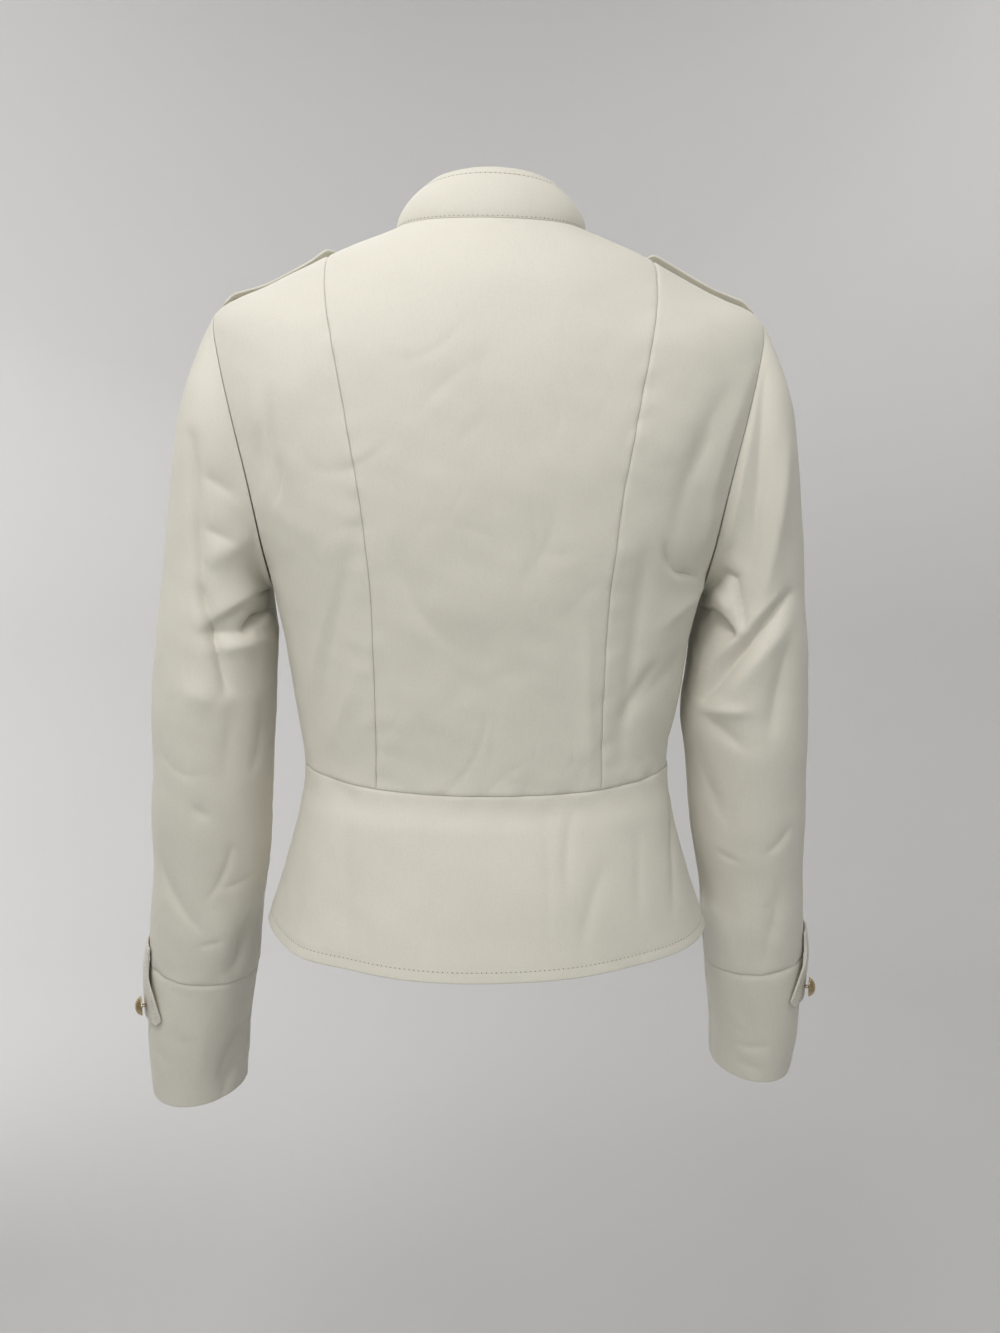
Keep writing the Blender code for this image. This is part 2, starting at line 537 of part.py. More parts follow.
def build_button(name, seat, facing):
    """A domed metal button on its shank, turned round its own axis."""
    profile = [(0, BUTTON_DOME)]
    profile += [(BUTTON_RADIUS * math.sin(angle), BUTTON_DOME * math.cos(angle))
                for angle in (0.35, 0.75, 1.15, 1.45)]
    profile += [(BUTTON_RADIUS * 0.94, -0.0004), (SHANK_RADIUS, -0.0002), (SHANK_RADIUS, -SHANK_LENGTH),
                (0, -SHANK_LENGTH)]
    mesh = bmesh.new()
    verts = [mesh.verts.new((x, 0, z + SHANK_LENGTH)) for x, z in profile]
    for upper, lower in zip(verts, verts[1:]):
        mesh.edges.new((upper, lower))
    piece = add_object(name, mesh, ((0.62, 0.50, 0.28), 0.28, 1.0))
    turned = piece.modifiers.new("turned", "SCREW")
    turned.steps = turned.render_steps = 14
    turned.use_merge_vertices = True
    turned.merge_threshold = 0.00005
    piece.location = seat
    piece.rotation_euler = facing.to_track_quat("Z", "Y").to_euler()


def along_at(side, z):
    """Place along a sleeve at a height, below the cap."""
    table = SLEEVES[side]
    along = np.linspace(1, CUFF_EDGE, 80)
    return np.interp(-z, -read(table, "z", along), along)


def build_cuff_tab(side, label):
    """A strap on the outer side of the sleeve, sewn at its top, buttoned near its lower end."""
    along = along_at(side, TAB_TOP[side] - TAB["drop"])
    clear = (CLOTH + DOUBLE_CLOTH) / 2 + SEAT_GAP + 0.0002
    share = np.linspace(-1, 1, 5)
    around = np.linspace(-40, 120, 161)
    points, seats = [], []
    for place, width, lift, wrap, middle in zip(along, *(TAB[key] for key in ("width", "lift", "wrap", "around"))):
        ring = sleeve_point(place, around, side)
        run = np.concatenate([[0], np.cumsum(np.linalg.norm(np.diff(ring, axis=0), axis=1))])
        line = np.gradient(ring, run, axis=0)
        normal = side * np.stack([line[:, 1], -line[:, 0], 0 * run], -1)
        normal /= np.linalg.norm(normal, axis=1, keepdims=True)
        reach = TAB_HALF_WIDTH * width * share
        at = np.interp(middle, around, run) + reach
        over = np.stack([np.interp(at, run, (ring + normal * (clear + lift))[:, j]) for j in range(3)], -1)
        flat = over[2] + reach[:, None] * np.array([np.interp(at[2], run, line[:, j]) for j in range(3)])
        points.append(flat + (over - flat) * wrap)
        seats.append((over[2], np.array([np.interp(at[2], run, normal[:, j]) for j in range(3)])))
    cloth("cuff_tab_" + label, np.array(points), DOUBLE_CLOTH)
    middle, normal = (Vector(value) for value in seats[TAB_BUTTON_ROW])
    tilt = math.radians(BUTTON_TILT)
    facing = normal.copy()
    facing.rotate(Quaternion((0, 0, 1), -side * tilt))
    seat = middle + normal * (DOUBLE_CLOTH / 2 + SEAT_GAP + SHANK_RADIUS * math.sin(tilt))
    build_button("cuff_button_" + label, seat, facing)


def front_line(x, side=1):
    """The front edge's line from the hem to the collar's top, x from the centre: points, inward offsets."""
    levels = np.append(np.linspace(HEM, WAIST, 6), side_levels(NECK)[-2::-1])
    lower = body_point(levels, seam_turn(levels, x, front=True), side)
    heights = np.array((0.12, 0.34, 0.60, 0.86))
    upper = collar_point(heights, collar_front_turn(heights, x), side)
    plies = np.append(np.full(len(levels) - 1, CLOTH), np.full(len(heights) + 1, DOUBLE_CLOTH))
    line = np.concatenate([lower, upper])
    run = np.gradient(line, axis=0)
    inward = np.stack([0 * run[:, 0], run[:, 2], -run[:, 1]], -1)
    inward /= np.linalg.norm(inward, axis=-1, keepdims=True)
    return line, inward, plies


def build_zip():
    """Two tapes behind the front edges, the box at the hem, the slider and its pull."""
    for side, label in SIDES:
        strips = []
        for x in (SEAT_GAP / 2, ZIP_EDGE, TAPE_WIDTH):
            line, inward, plies = front_line(x, side)
            strips.append(line + inward * (plies / 2 + TAPE_ROOM + TAPE / 2)[:, None])
        cloth("zip_tape_" + label, np.stack(strips, axis=1), TAPE, ((0.66, 0.63, 0.56), 0.8))
    metal = ((0.62, 0.50, 0.28), 0.3, 1.0)
    line, inward, plies = front_line(SEAT_GAP / 2)
    tape_face = line + inward * (plies / 2 + TAPE_ROOM - SEAT_GAP)[:, None]
    box = Vector((0, tape_face[0, 1] - ZIP_BOX_SIZE[1] / 2, tape_face[0, 2] + BOX_LIFT))
    block("zip_box", ZIP_BOX_SIZE, box, metal, tilt=line_tilt(line, 0))
    build_slider(metal)


def line_tilt(line, row):
    """Tilt about X of a line in the centre plane, from upright."""
    run = line[row + 1] - line[row]
    return math.atan2(-run[1], run[2])


def block(name, size, place, finish, tilt=0.0, bevel=0.0006):
    """A small block with rounded edges."""
    mesh = bmesh.new()
    bmesh.ops.create_cube(mesh, size=1)
    bmesh.ops.scale(mesh, vec=size, verts=mesh.verts)
    piece = add_object(name, mesh, finish)
    rounded = piece.modifiers.new("rounded", "BEVEL")
    rounded.width = bevel
    rounded.segments = 2
    piece.location = place
    piece.rotation_euler = (tilt, 0, 0)
    return piece


def as_tool(piece):
    """Hide a piece that only cuts or joins another."""
    bpy.data.collections["cropped zip jacket"].objects.unlink(piece)
    bpy.data.collections["tools"].objects.link(piece)
    piece.hide_render = True
    piece.display_type = "WIRE"


def combine(piece, tool, operation):
    """Cut a piece with a tool, or join the tool to it."""
    step = piece.modifiers.new(tool.name, "BOOLEAN")
    step.operation = operation
    step.object = tool
    as_tool(tool)


def build_slider(metal):
    """The slider near the collar's top, the wire ring on its face and the pull that hangs in it."""
    turn = FRONT_CENTRE
    low, high = (Vector(collar_point(height, turn)) for height in (SLIDER_HEIGHT - 0.3, SLIDER_HEIGHT + 0.3))
    run = (high - low).normalized()
    tilt = math.atan2(-run.y, run.z)
    outward = Vector((0, -math.cos(tilt), -math.sin(tilt)))
    middle = Vector(collar_point(SLIDER_HEIGHT, turn))
    middle.x = 0
    back = middle - outward * (DOUBLE_CLOTH / 2 + TAPE_ROOM - SEAT_GAP)
    slider = block("zip_slider", SLIDER_SIZE, back + outward * (SLIDER_SIZE[1] / 2), metal, tilt)
    face = back + outward * SLIDER_SIZE[1]
    bpy.ops.mesh.primitive_torus_add(major_radius=RING_RADIUS, minor_radius=RING_WIRE, major_segments=20,
                                     minor_segments=8, location=face, rotation=(0, math.pi / 2, 0))
    ring = bpy.context.object
    ring.name = "slider_ring"
    for owner in list(ring.users_collection):
        owner.objects.unlink(ring)
    bpy.data.collections["cropped zip jacket"].objects.link(ring)
    combine(slider, ring, "UNION")
    hinge = face + outward * HINGE_REACH
    mesh = bmesh.new()
    bmesh.ops.create_cube(mesh, size=1)
    bmesh.ops.scale(mesh, vec=PULL_SIZE, verts=mesh.verts)
    bmesh.ops.translate(mesh, vec=(0, 0, PULL_SIZE[1] / 2 - PULL_SIZE[2] / 2), verts=mesh.verts)
    pull = add_object("zip_pull", mesh, metal)
    mesh = bmesh.new()
    bmesh.ops.create_cube(mesh, size=1)
    bmesh.ops.scale(mesh, vec=(PULL_WINDOW[0], 4 * PULL_SIZE[1], PULL_WINDOW[1]), verts=mesh.verts)
    bmesh.ops.translate(mesh, vec=(0, 0, -PULL_SIZE[1] / 2 - PULL_WINDOW[1] / 2), verts=mesh.verts)
    window = add_object("pull_window", mesh, metal)
    for piece in (pull, window):
        piece.location = hinge
        piece.rotation_euler = (tilt, 0, 0)
    combine(pull, window, "DIFFERENCE")


def main():
    """Clear the scene and build every piece."""
    for item in list(bpy.data.objects):
        bpy.data.objects.remove(item, do_unlink=True)
    jacket = bpy.data.collections.new("cropped zip jacket")
    tools = bpy.data.collections.new("tools")
    for group in (jacket, tools):
        bpy.context.scene.collection.children.link(group)
    build_back()
    build_front()
    build_peplum()
    build_collar()
    for side, label in SIDES:
        build_sleeve(side, label)
        build_epaulette(side, label)
        build_cuff_tab(side, label)
    build_zip()


main()
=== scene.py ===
"""Cropped zip jacket, dressed for a close look.

Fine shells stand for the jacket's cloth pieces, with their folds, seams and stitching. Lengths are in
metres, +Z is up, the fronts face -Y and the wearer's left is +X, as in the frame.
"""
import json
import math

import bmesh
import bpy
import numpy as np
from mathutils import Matrix, Vector


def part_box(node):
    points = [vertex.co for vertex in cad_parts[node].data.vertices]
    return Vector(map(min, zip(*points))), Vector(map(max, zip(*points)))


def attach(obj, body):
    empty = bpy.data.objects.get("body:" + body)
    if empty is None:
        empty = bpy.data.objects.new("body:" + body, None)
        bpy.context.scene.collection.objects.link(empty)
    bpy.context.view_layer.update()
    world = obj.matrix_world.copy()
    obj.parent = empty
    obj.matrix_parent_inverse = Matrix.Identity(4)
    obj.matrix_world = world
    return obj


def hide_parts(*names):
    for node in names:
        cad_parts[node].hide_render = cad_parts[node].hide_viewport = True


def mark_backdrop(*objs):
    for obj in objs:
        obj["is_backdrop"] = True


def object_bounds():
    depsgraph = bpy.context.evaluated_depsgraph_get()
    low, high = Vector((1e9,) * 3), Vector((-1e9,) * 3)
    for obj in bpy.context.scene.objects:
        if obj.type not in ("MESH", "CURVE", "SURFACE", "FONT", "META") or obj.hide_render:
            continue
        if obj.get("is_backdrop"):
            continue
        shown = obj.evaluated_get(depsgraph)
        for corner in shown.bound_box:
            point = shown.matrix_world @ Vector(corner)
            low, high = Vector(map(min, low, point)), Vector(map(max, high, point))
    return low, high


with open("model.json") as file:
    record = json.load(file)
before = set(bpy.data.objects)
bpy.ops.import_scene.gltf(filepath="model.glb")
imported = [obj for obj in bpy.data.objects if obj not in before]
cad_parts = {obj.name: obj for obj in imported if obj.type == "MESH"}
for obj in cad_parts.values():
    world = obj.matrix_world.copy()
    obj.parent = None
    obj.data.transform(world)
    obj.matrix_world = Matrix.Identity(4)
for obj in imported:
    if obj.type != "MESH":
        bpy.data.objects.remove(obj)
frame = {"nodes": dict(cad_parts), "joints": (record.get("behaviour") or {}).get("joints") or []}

bl_info = {
    "name": "Cropped zip jacket",
    "version": (1, 0, 0),
    "blender": (4, 5, 0),
    "location": "View3D > Sidebar > Jacket",
    "description": "Dresses the jacket's frame with cloth, stitching, buttons and a zip",
    "category": "Add Mesh",
}

BODY_NAME = "jacket"
PULL_BODY = "zip_pull"
CLOTH_SLOT, TAPE_SLOT, ZIP_SLOT, BUTTON_SLOT = "cotton_sateen", "zip_tape", "zip_metal", "button_metal"
SIDES = ((1, "left"), (-1, "right"))

# Levels down the body and turns round it, as in the solids
NECK, SEAM_AT_SHOULDER, SHOULDER_TIP, UNDERARM, WAIST, HEM = 0, 2, 4, 9, 11, 15
SIDE, FRONT_CENTRE = 90.0, 180.0       # from the back centre at 0

CAD_CLOTH, CAD_DOUBLE = 0.0012, 0.0020      # walls of the solids, one ply and two
OVER, UNDER, PLY = 0.0005, 0.0006, 0.0010   # outer and inner half of a shell's wall, and half a doubled wall
SEAT_GAP = 0.0003           # between pieces that lie on each other
ARMHOLE_ROOM, UNDERARM_ROOM = 0.0003, 0.0004    # between body and sleeve, and what the underarm adds
ZIP_EDGE, TEETH_EDGE = 0.0042, 0.0009           # from the centre line to each front and to each tape
TAPE, TAPE_ROOM, TAPE_WIDTH = 0.0008, 0.0008, 0.0125

NECK_SHARE = 0.62           # of a centre panel's top edge, the part along the neck
ARMHOLE_SHARE = 0.62        # of a side panel's outer edge, the part along the armhole
# Rows beside every edge, close together so that it rounds over
EDGE_ROWS = (0.0, 0.00012, 0.00035, 0.0007, 0.0013, 0.0022, 0.0036)


def columns(names, rows):
    """Give a table as one array for each named column."""
    return dict(zip(names.split(), np.array(rows, float).T))


BODY = columns("level half_width side_z back_z front_z side_y back_y front_y back_power front_power", [
    (0,  0.0675,  0.000, -0.005, -0.062,  0.000, 0.0560, -0.060, 2.0, 2.0),     # neck
    (1,  0.0930, -0.009, -0.028, -0.086,  0.000, 0.0690, -0.077, 2.0, 2.0),
    (2,  0.1160, -0.018, -0.049, -0.106,  0.000, 0.0785, -0.092, 2.0, 2.0),     # princess seams start
    (3,  0.1600, -0.040, -0.078, -0.130,  0.000, 0.0860, -0.108, 2.0, 2.0),
    (4,  0.1970, -0.058, -0.105, -0.152,  0.000, 0.0905, -0.120, 2.0, 2.1),     # shoulder tip
    (5,  0.2080, -0.088, -0.132, -0.175, -0.003, 0.0930, -0.130, 2.1, 2.2),
    (6,  0.2040, -0.130, -0.160, -0.198, -0.006, 0.0945, -0.138, 2.2, 2.3),
    (7,  0.1910, -0.175, -0.190, -0.220, -0.009, 0.0945, -0.143, 2.3, 2.4),
    (8,  0.1750, -0.217, -0.222, -0.242, -0.010, 0.0930, -0.145, 2.4, 2.5),
    (9,  0.1610, -0.256, -0.258, -0.266, -0.010, 0.0895, -0.142, 2.4, 2.5),     # underarm
    (10, 0.1485, -0.330, -0.334, -0.334, -0.009, 0.0815, -0.124, 2.4, 2.4),
    (11, 0.1400, -0.387, -0.397, -0.393, -0.006, 0.0770, -0.113, 2.4, 2.3),     # waist
    (12, 0.1440, -0.420, -0.424, -0.423, -0.004, 0.0860, -0.117, 2.4, 2.3),
    (13, 0.1525, -0.456, -0.456, -0.456, -0.002, 0.0985, -0.122, 2.3, 2.3),
    (14, 0.1625, -0.488, -0.488, -0.489,  0.000, 0.1095, -0.126, 2.2, 2.2),
    (15, 0.1700, -0.510, -0.515, -0.516,  0.000, 0.1185, -0.129, 2.2, 2.2),     # hem
])
BACK_PRINCESS = columns("level x", [
    (2, 0.116), (3, 0.1115), (4, 0.1055), (5, 0.0995), (6, 0.0938), (7, 0.0882), (8, 0.0845),
    (9, 0.0812), (10, 0.0795), (11, 0.0800),
])
FRONT_PRINCESS = columns("level x", [
    (2, 0.116), (3, 0.1130), (4, 0.1075), (5, 0.1020), (6, 0.0970), (7, 0.0930), (8, 0.0900),
    (9, 0.0860), (10, 0.0790), (11, 0.0760),
])
BACK_ARMHOLE = columns("level x", [
    (4, 0.1970), (4.5, 0.1935), (5, 0.1885), (6, 0.1785), (7, 0.1695), (8, 0.1635), (8.6, 0.1615),
    (9, 0.1610),
])
FRONT_ARMHOLE = columns("level x", [
    (4, 0.1970), (4.5, 0.1930), (5, 0.1840), (6, 0.1680), (7, 0.1580), (8, 0.1550), (8.6, 0.1575),
    (9, 0.1610),
])
COLLAR_TOP = {"half_width": 0.0490, "side_z": 0.0270, "back_z": 0.0293, "front_z": -0.030,
              "back_y": 0.0465, "front_y": -0.052}
COLLAR_LIFT, COLLAR_BULGE, COLLAR_FULLNESS = 0.0009, 0.0022, 1.0
FLUTES = columns("turn spread depth", [
    (-62, 16, 0.0022), (-34, 12, -0.0018), (8, 14, 0.0012), (34, 10, -0.0016), (47, 9, 0.0026),
    (72, 12, -0.0016), (112, 15, 0.0020), (146, 14, -0.0018), (-118, 15, 0.0020), (-148, 13, -0.0016),
])
SLEEVE_COLUMNS = "along x y z half_width half_depth lean"
LEFT_SLEEVE = columns(SLEEVE_COLUMNS, [
    (1.0, 0.2022, -0.010, -0.243, 0.0380, 0.0580, 0.038),     # biceps
    (1.5, 0.2062, -0.009, -0.290, 0.0422, 0.0570, 0.020),
    (2.0, 0.2113, -0.008, -0.343, 0.0450, 0.0550, 0.008),     # elbow
    (2.5, 0.2142, -0.010, -0.395, 0.0447, 0.0530, 0.002),
    (3.0, 0.2175, -0.014, -0.449, 0.0450, 0.0510, 0.000),
    (3.5, 0.2240, -0.020, -0.510, 0.0430, 0.0490, 0.001),
    (4.0, 0.2310, -0.026, -0.563, 0.0420, 0.0470, 0.007),     # cuff seam
    (4.5, 0.2382, -0.031, -0.619, 0.0402, 0.0450, 0.001),
    (5.0, 0.2405, -0.036, -0.673, 0.0375, 0.0440, 0.000),     # cuff's edge
])
RIGHT_SLEEVE = columns(SLEEVE_COLUMNS, [
    (1.0, 0.1990, -0.010, -0.243, 0.0375, 0.0580, 0.038),
    (1.5, 0.2008, -0.009, -0.290, 0.0430, 0.0570, 0.020),
    (2.0, 0.2013, -0.008, -0.343, 0.0473, 0.0560, 0.008),
    (2.5, 0.2055, -0.010, -0.392, 0.0460, 0.0540, 0.002),
    (3.0, 0.2103, -0.014, -0.449, 0.0434, 0.0510, 0.000),
    (3.5, 0.2175, -0.020, -0.505, 0.0402, 0.0485, 0.001),
    (4.0, 0.2235, -0.026, -0.557, 0.0388, 0.0460, 0.007),
    (4.5, 0.2276, -0.031, -0.611, 0.0366, 0.0440, 0.001),
    (5.0, 0.2275, -0.036, -0.656, 0.0322, 0.0430, 0.000),
])
SLEEVES = {1: LEFT_SLEEVE, -1: RIGHT_SLEEVE}
CUFF_SEAM, CUFF_EDGE = 4.0, 5.0
TIP_LEAVE, UNDERARM_LEAVE, BACK_LEAVE = (0.50, -0.90), (1.10, 0.46), 0.30

# Creases. Each runs from (x_0, z_0) to (x_1, z_1) as seen from straight behind or in front, with x to the
# wearer's left. left and right are how wide it is on each side of its direction, in millimetres. depth is
# how far it rises (or sinks, below 0), in FOLD_UNITs, and bow how far it curves to its left, in BOW_UNITs.
CREASE_COLUMNS = "x_0 z_0 x_1 z_1 left right depth bow"
BODY_BEHIND = columns(CREASE_COLUMNS, [
    (0.086, -0.206, 0.124, -0.376, 8.0, 8.0, -1.9, 6.0),        # left: from the princess seam to the waist
    (0.101, -0.240, 0.133, -0.376, 4.0, 5.0, 1.2, 7.0),
    (0.086, -0.300, 0.114, -0.366, 6.0, 5.0, 1.1, 0.0),
    (0.159, -0.146, 0.158, -0.182, 3.2, 3.2, -1.3, 1.0),        # short ones beside the left armhole
    (0.143, -0.166, 0.147, -0.193, 3.0, 3.0, -1.4, -1.0),
    (0.167, -0.118, 0.168, -0.156, 3.5, 3.5, -0.9, 0.0),
    (0.151, -0.136, 0.153, -0.176, 3.0, 3.0, -1.1, 0.0),
    (0.136, -0.178, 0.139, -0.206, 4.0, 4.0, -0.8, 0.0),
    (0.152, -0.110, 0.147, -0.190, 9.0, 9.0, -1.2, 0.0),
    (0.014, -0.106, 0.048, -0.138, 5.0, 5.0, -0.5, 3.0),        # faint ones over the shoulder blades
    (0.062, -0.226, 0.024, -0.292, 10.0, 10.0, -1.0, 8.0),
    (-0.044, -0.190, -0.018, -0.250, 9.0, 9.0, -0.6, -6.0),
    (-0.004, -0.330, -0.002, -0.376, 6.0, 6.0, -0.4, 0.0),
    (-0.160, -0.118, -0.126, -0.212, 10.0, 11.0, -1.7, 5.0),    # right: beside the armhole
    (-0.151, -0.146, -0.139, -0.174, 6.0, 6.0, -1.3, 0.0),
    (-0.182, -0.096, -0.150, -0.205, 8.0, 8.0, 1.3, 3.0),
    (-0.158, -0.194, -0.147, -0.226, 8.0, 8.0, 1.5, 0.0),
    (-0.120, -0.220, -0.133, -0.242, 2.8, 3.6, -2.4, 3.0),      # pinch at the right shoulder blade
    (-0.131, -0.241, -0.147, -0.244, 2.4, 3.6, -2.4, -1.0),
    (-0.160, -0.250, -0.122, -0.278, 8.0, 6.0, 2.3, 0.0),
    (-0.152, -0.292, -0.104, -0.334, 9.0, 9.0, -1.4, 0.0),
    (-0.119, -0.304, -0.096, -0.346, 4.0, 4.5, -1.8, 2.0),
    (-0.106, -0.226, -0.094, -0.376, 9.0, 7.0, -2.2, 0.0),
    (-0.066, -0.280, -0.072, -0.390, 9.0, 9.0, 1.3, 0.0),
    (-0.147, -0.346, -0.137, -0.390, 5.0, 5.0, -1.8, 0.0),
])
PEPLUM_BEHIND = columns(CREASE_COLUMNS, [
    (0.102, -0.412, 0.098, -0.494, 7.0, 8.0, -0.8, 0.0),
    (0.067, -0.430, 0.075, -0.480, 2.4, 2.4, -0.55, 1.0),
    (-0.060, -0.406, -0.054, -0.460, 4.5, 4.5, -0.9, 2.0),
    (-0.040, -0.400, -0.042, -0.492, 5.0, 5.0, -0.5, 0.0),
    (-0.080, -0.448, -0.064, -0.498, 6.0, 6.0, -0.9, 2.0),
    (-0.108, -0.428, -0.106, -0.482, 6.0, 6.0, -0.6, 0.0),
    (-0.142, -0.404, -0.134, -0.484, 4.5, 4.5, -1.1, 0.0),
    (-0.002, -0.410, 0.002, -0.470, 9.0, 9.0, -0.3, 0.0),
])
LEFT_SLEEVE_BEHIND = columns(CREASE_COLUMNS, [
    (0.2065, -0.150, 0.2034, -0.266, 5.0, 8.0, -4.0, 0.0),      # long crease down the upper arm
    (0.2038, -0.256, 0.1895, -0.328, 4.4, 7.0, -5.2, -1.0),     # to a sharp end past the elbow
    (0.2050, -0.2835, 0.1655, -0.2545, 2.8, 9.0, 2.3, 0.0),     # lip of the deep elbow fold
    (0.2035, -0.2850, 0.1720, -0.2870, 9.0, 9.0, -3.4, 0.0),    # and the fold, undercut from above
    (0.1765, -0.2866, 0.1630, -0.2690, 2.0, 4.5, -6.5, 0.0),
    (0.1930, -0.2790, 0.1640, -0.2640, 7.0, 6.0, -2.0, 0.0),
    (0.1720, -0.2610, 0.1610, -0.2530, 1.8, 1.8, -2.6, 0.0),
    (0.2000, -0.238, 0.1700, -0.216, 12.0, 12.0, 2.6, 0.0),
    (0.1980, -0.299, 0.1650, -0.293, 9.0, 10.0, 2.8, 0.0),      # roll of cloth below it
    (0.2190, -0.326, 0.1970, -0.336, 13.0, 14.0, 1.9, 0.0),
    (0.1985, -0.176, 0.1760, -0.190, 6.0, 7.0, -1.6, 0.0),
    (0.2000, -0.212, 0.1800, -0.222, 5.0, 6.0, -1.4, 0.0),
    (0.1700, -0.340, 0.1770, -0.392, 3.4, 3.4, -1.6, -2.0),
    (0.1850, -0.335, 0.1950, -0.400, 9.0, 9.0, -1.2, 0.0),
    (0.2170, -0.415, 0.2060, -0.425, 6.0, 6.0, -1.2, 0.0),
    (0.2100, -0.489, 0.1926, -0.4487, 2.4, 4.0, -1.3, 3.0),
    (0.2020, -0.483, 0.1811, -0.478, 2.2, 3.0, -0.9, 1.0),
    (0.2503, -0.460, 0.2187, -0.515, 6.0, 9.0, -1.5, 3.0),
    (0.2195, -0.530, 0.2038, -0.526, 2.2, 3.0, -0.8, 0.0),
    (0.1970, -0.553, 0.1840, -0.512, 3.0, 5.0, -1.9, 0.0),
    (0.2010, -0.557, 0.1800, -0.500, 7.0, 7.0, -3.4, 2.0),
    (0.2100, -0.500, 0.1980, -0.552, 9.0, 9.0, 1.8, 0.0),
])
LEFT_CUFF_BEHIND = columns(CREASE_COLUMNS, [
    (0.197, -0.610, 0.214, -0.654, 4.5, 5.0, -2.6, 2.0),
    (0.200, -0.646, 0.214, -0.670, 4.0, 4.5, -2.0, 1.0),
    (0.2137, -0.6623, 0.1996, -0.6341, 2.2, 4.6, -1.4, 0.0),
    (0.222, -0.600, 0.230, -0.650, 9.0, 9.0, 1.2, 0.0),
])
RIGHT_SLEEVE_BEHIND = columns(CREASE_COLUMNS, [
    (-0.1900, -0.105, -0.1862, -0.262, 8.0, 7.0, -3.2, 0.0),    # hollow behind the armhole
    (-0.1840, -0.100, -0.1730, -0.218, 6.0, 7.0, 2.4, 0.0),
    (-0.2090, -0.150, -0.1970, -0.260, 9.0, 9.0, 3.2, 0.0),
    (-0.1670, -0.254, -0.1722, -0.240, 2.6, 3.4, -2.2, 0.0),    # small arched fold below the armhole
    (-0.1716, -0.2395, -0.1786, -0.246, 2.6, 3.4, -2.2, 0.0),
    (-0.1776, -0.244, -0.1850, -0.2800, 2.6, 4.4, -3.2, 0.0),
    (-0.1690, -0.252, -0.1750, -0.270, 5.0, 4.0, 2.2, 0.0),
    (-0.1630, -0.265, -0.1790, -0.2865, 12.0, 1.8, -8.0, 0.0),  # pocket under its lip
    (-0.2060, -0.256, -0.1600, -0.320, 5.0, 7.0, 2.4, 2.0),     # ridge beside the great diagonal fold
    (-0.2180, -0.2560, -0.1630, -0.335, 7.0, 5.0, -6.0, 3.4),
    (-0.2160, -0.276, -0.1760, -0.334, 9.0, 12.0, 3.0, 2.0),
    (-0.2180, -0.290, -0.2060, -0.362, 12.0, 12.0, -3.2, 0.0),
    (-0.1640, -0.343, -0.1900, -0.341, 8.0, 7.0, 2.8, 0.0),
    (-0.1640, -0.349, -0.1870, -0.369, 6.0, 7.0, -1.6, 0.0),
    (-0.1630, -0.378, -0.1830, -0.432, 6.0, 7.0, -1.3, 3.0),
    (-0.1790, -0.455, -0.1930, -0.462, 2.1, 2.8, -0.9, 1.0),
    (-0.2110, -0.453, -0.2300, -0.432, 4.0, 7.0, -1.2, 2.0),
    (-0.2260, -0.480, -0.2180, -0.545, 8.0, 9.0, -1.3, 0.0),
    (-0.1900, -0.500, -0.2000, -0.545, 7.0, 7.0, -1.0, 0.0),
])
RIGHT_CUFF_BEHIND = columns(CREASE_COLUMNS, [
    (-0.206, -0.626, -0.228, -0.622, 3.0, 4.5, -0.9, 1.0),
    (-0.206, -0.641, -0.224, -0.644, 5.0, 5.0, -0.7, 0.0),
    (-0.200, -0.580, -0.216, -0.612, 8.0, 8.0, -0.9, 0.0),
])
BODY_IN_FRONT = columns(CREASE_COLUMNS, [
    (0.152, -0.126, 0.100, -0.218, 9.0, 10.0, -2.8, 5.0),
    (0.158, -0.190, 0.118, -0.234, 5.0, 6.0, -2.0, 3.0),
    (0.150, -0.160, 0.118, -0.206, 8.0, 8.0, 1.8, 0.0),
    (0.118, -0.286, 0.095, -0.382, 7.0, 8.0, -1.7, 3.0),
    (0.042, -0.296, 0.050, -0.388, 8.0, 8.0, -1.1, 0.0),
    (0.132, -0.300, 0.120, -0.384, 6.0, 6.0, 1.0, 0.0),
    (-0.154, -0.122, -0.106, -0.208, 9.0, 8.0, -2.9, -5.0),
    (-0.158, -0.205, -0.114, -0.242, 5.0, 6.0, -1.8, -2.0),
    (-0.150, -0.172, -0.120, -0.214, 8.0, 8.0, 1.8, 0.0),
    (-0.122, -0.296, -0.100, -0.386, 7.0, 7.0, -1.5, -3.0),
    (-0.038, -0.290, -0.047, -0.382, 8.0, 8.0, -1.2, 0.0),
])
PEPLUM_IN_FRONT = columns(CREASE_COLUMNS, [
    (0.088, -0.403, 0.098, -0.488, 7.0, 7.0, -1.4, 0.0),
    (0.040, -0.408, 0.044, -0.472, 6.0, 6.0, -0.9, 0.0),
    (0.136, -0.405, 0.146, -0.484, 5.0, 5.0, -1.5, 0.0),
    (-0.096, -0.406, -0.104, -0.482, 7.0, 7.0, -1.4, 0.0),
    (-0.052, -0.403, -0.054, -0.478, 5.0, 5.0, -0.9, 0.0),
])
LEFT_SLEEVE_IN_FRONT = columns(CREASE_COLUMNS, [
    (0.172, -0.256, 0.236, -0.300, 8.0, 16.0, -6.4, 3.0),
    (0.170, -0.290, 0.230, -0.328, 9.0, 9.0, 3.6, 3.0),
    (0.176, -0.318, 0.240, -0.350, 6.0, 10.0, -3.6, 4.0),
    (0.224, -0.140, 0.198, -0.252, 7.0, 7.0, -2.4, 3.0),
    (0.196, -0.130, 0.182, -0.230, 8.0, 8.0, 1.8, 0.0),
    (0.188, -0.434, 0.238, -0.410, 6.0, 7.0, -2.0, 3.0),
    (0.198, -0.498, 0.242, -0.522, 6.0, 7.0, -1.9, -2.0),
    (0.208, -0.546, 0.238, -0.538, 4.0, 4.5, -1.3, 0.0),
])
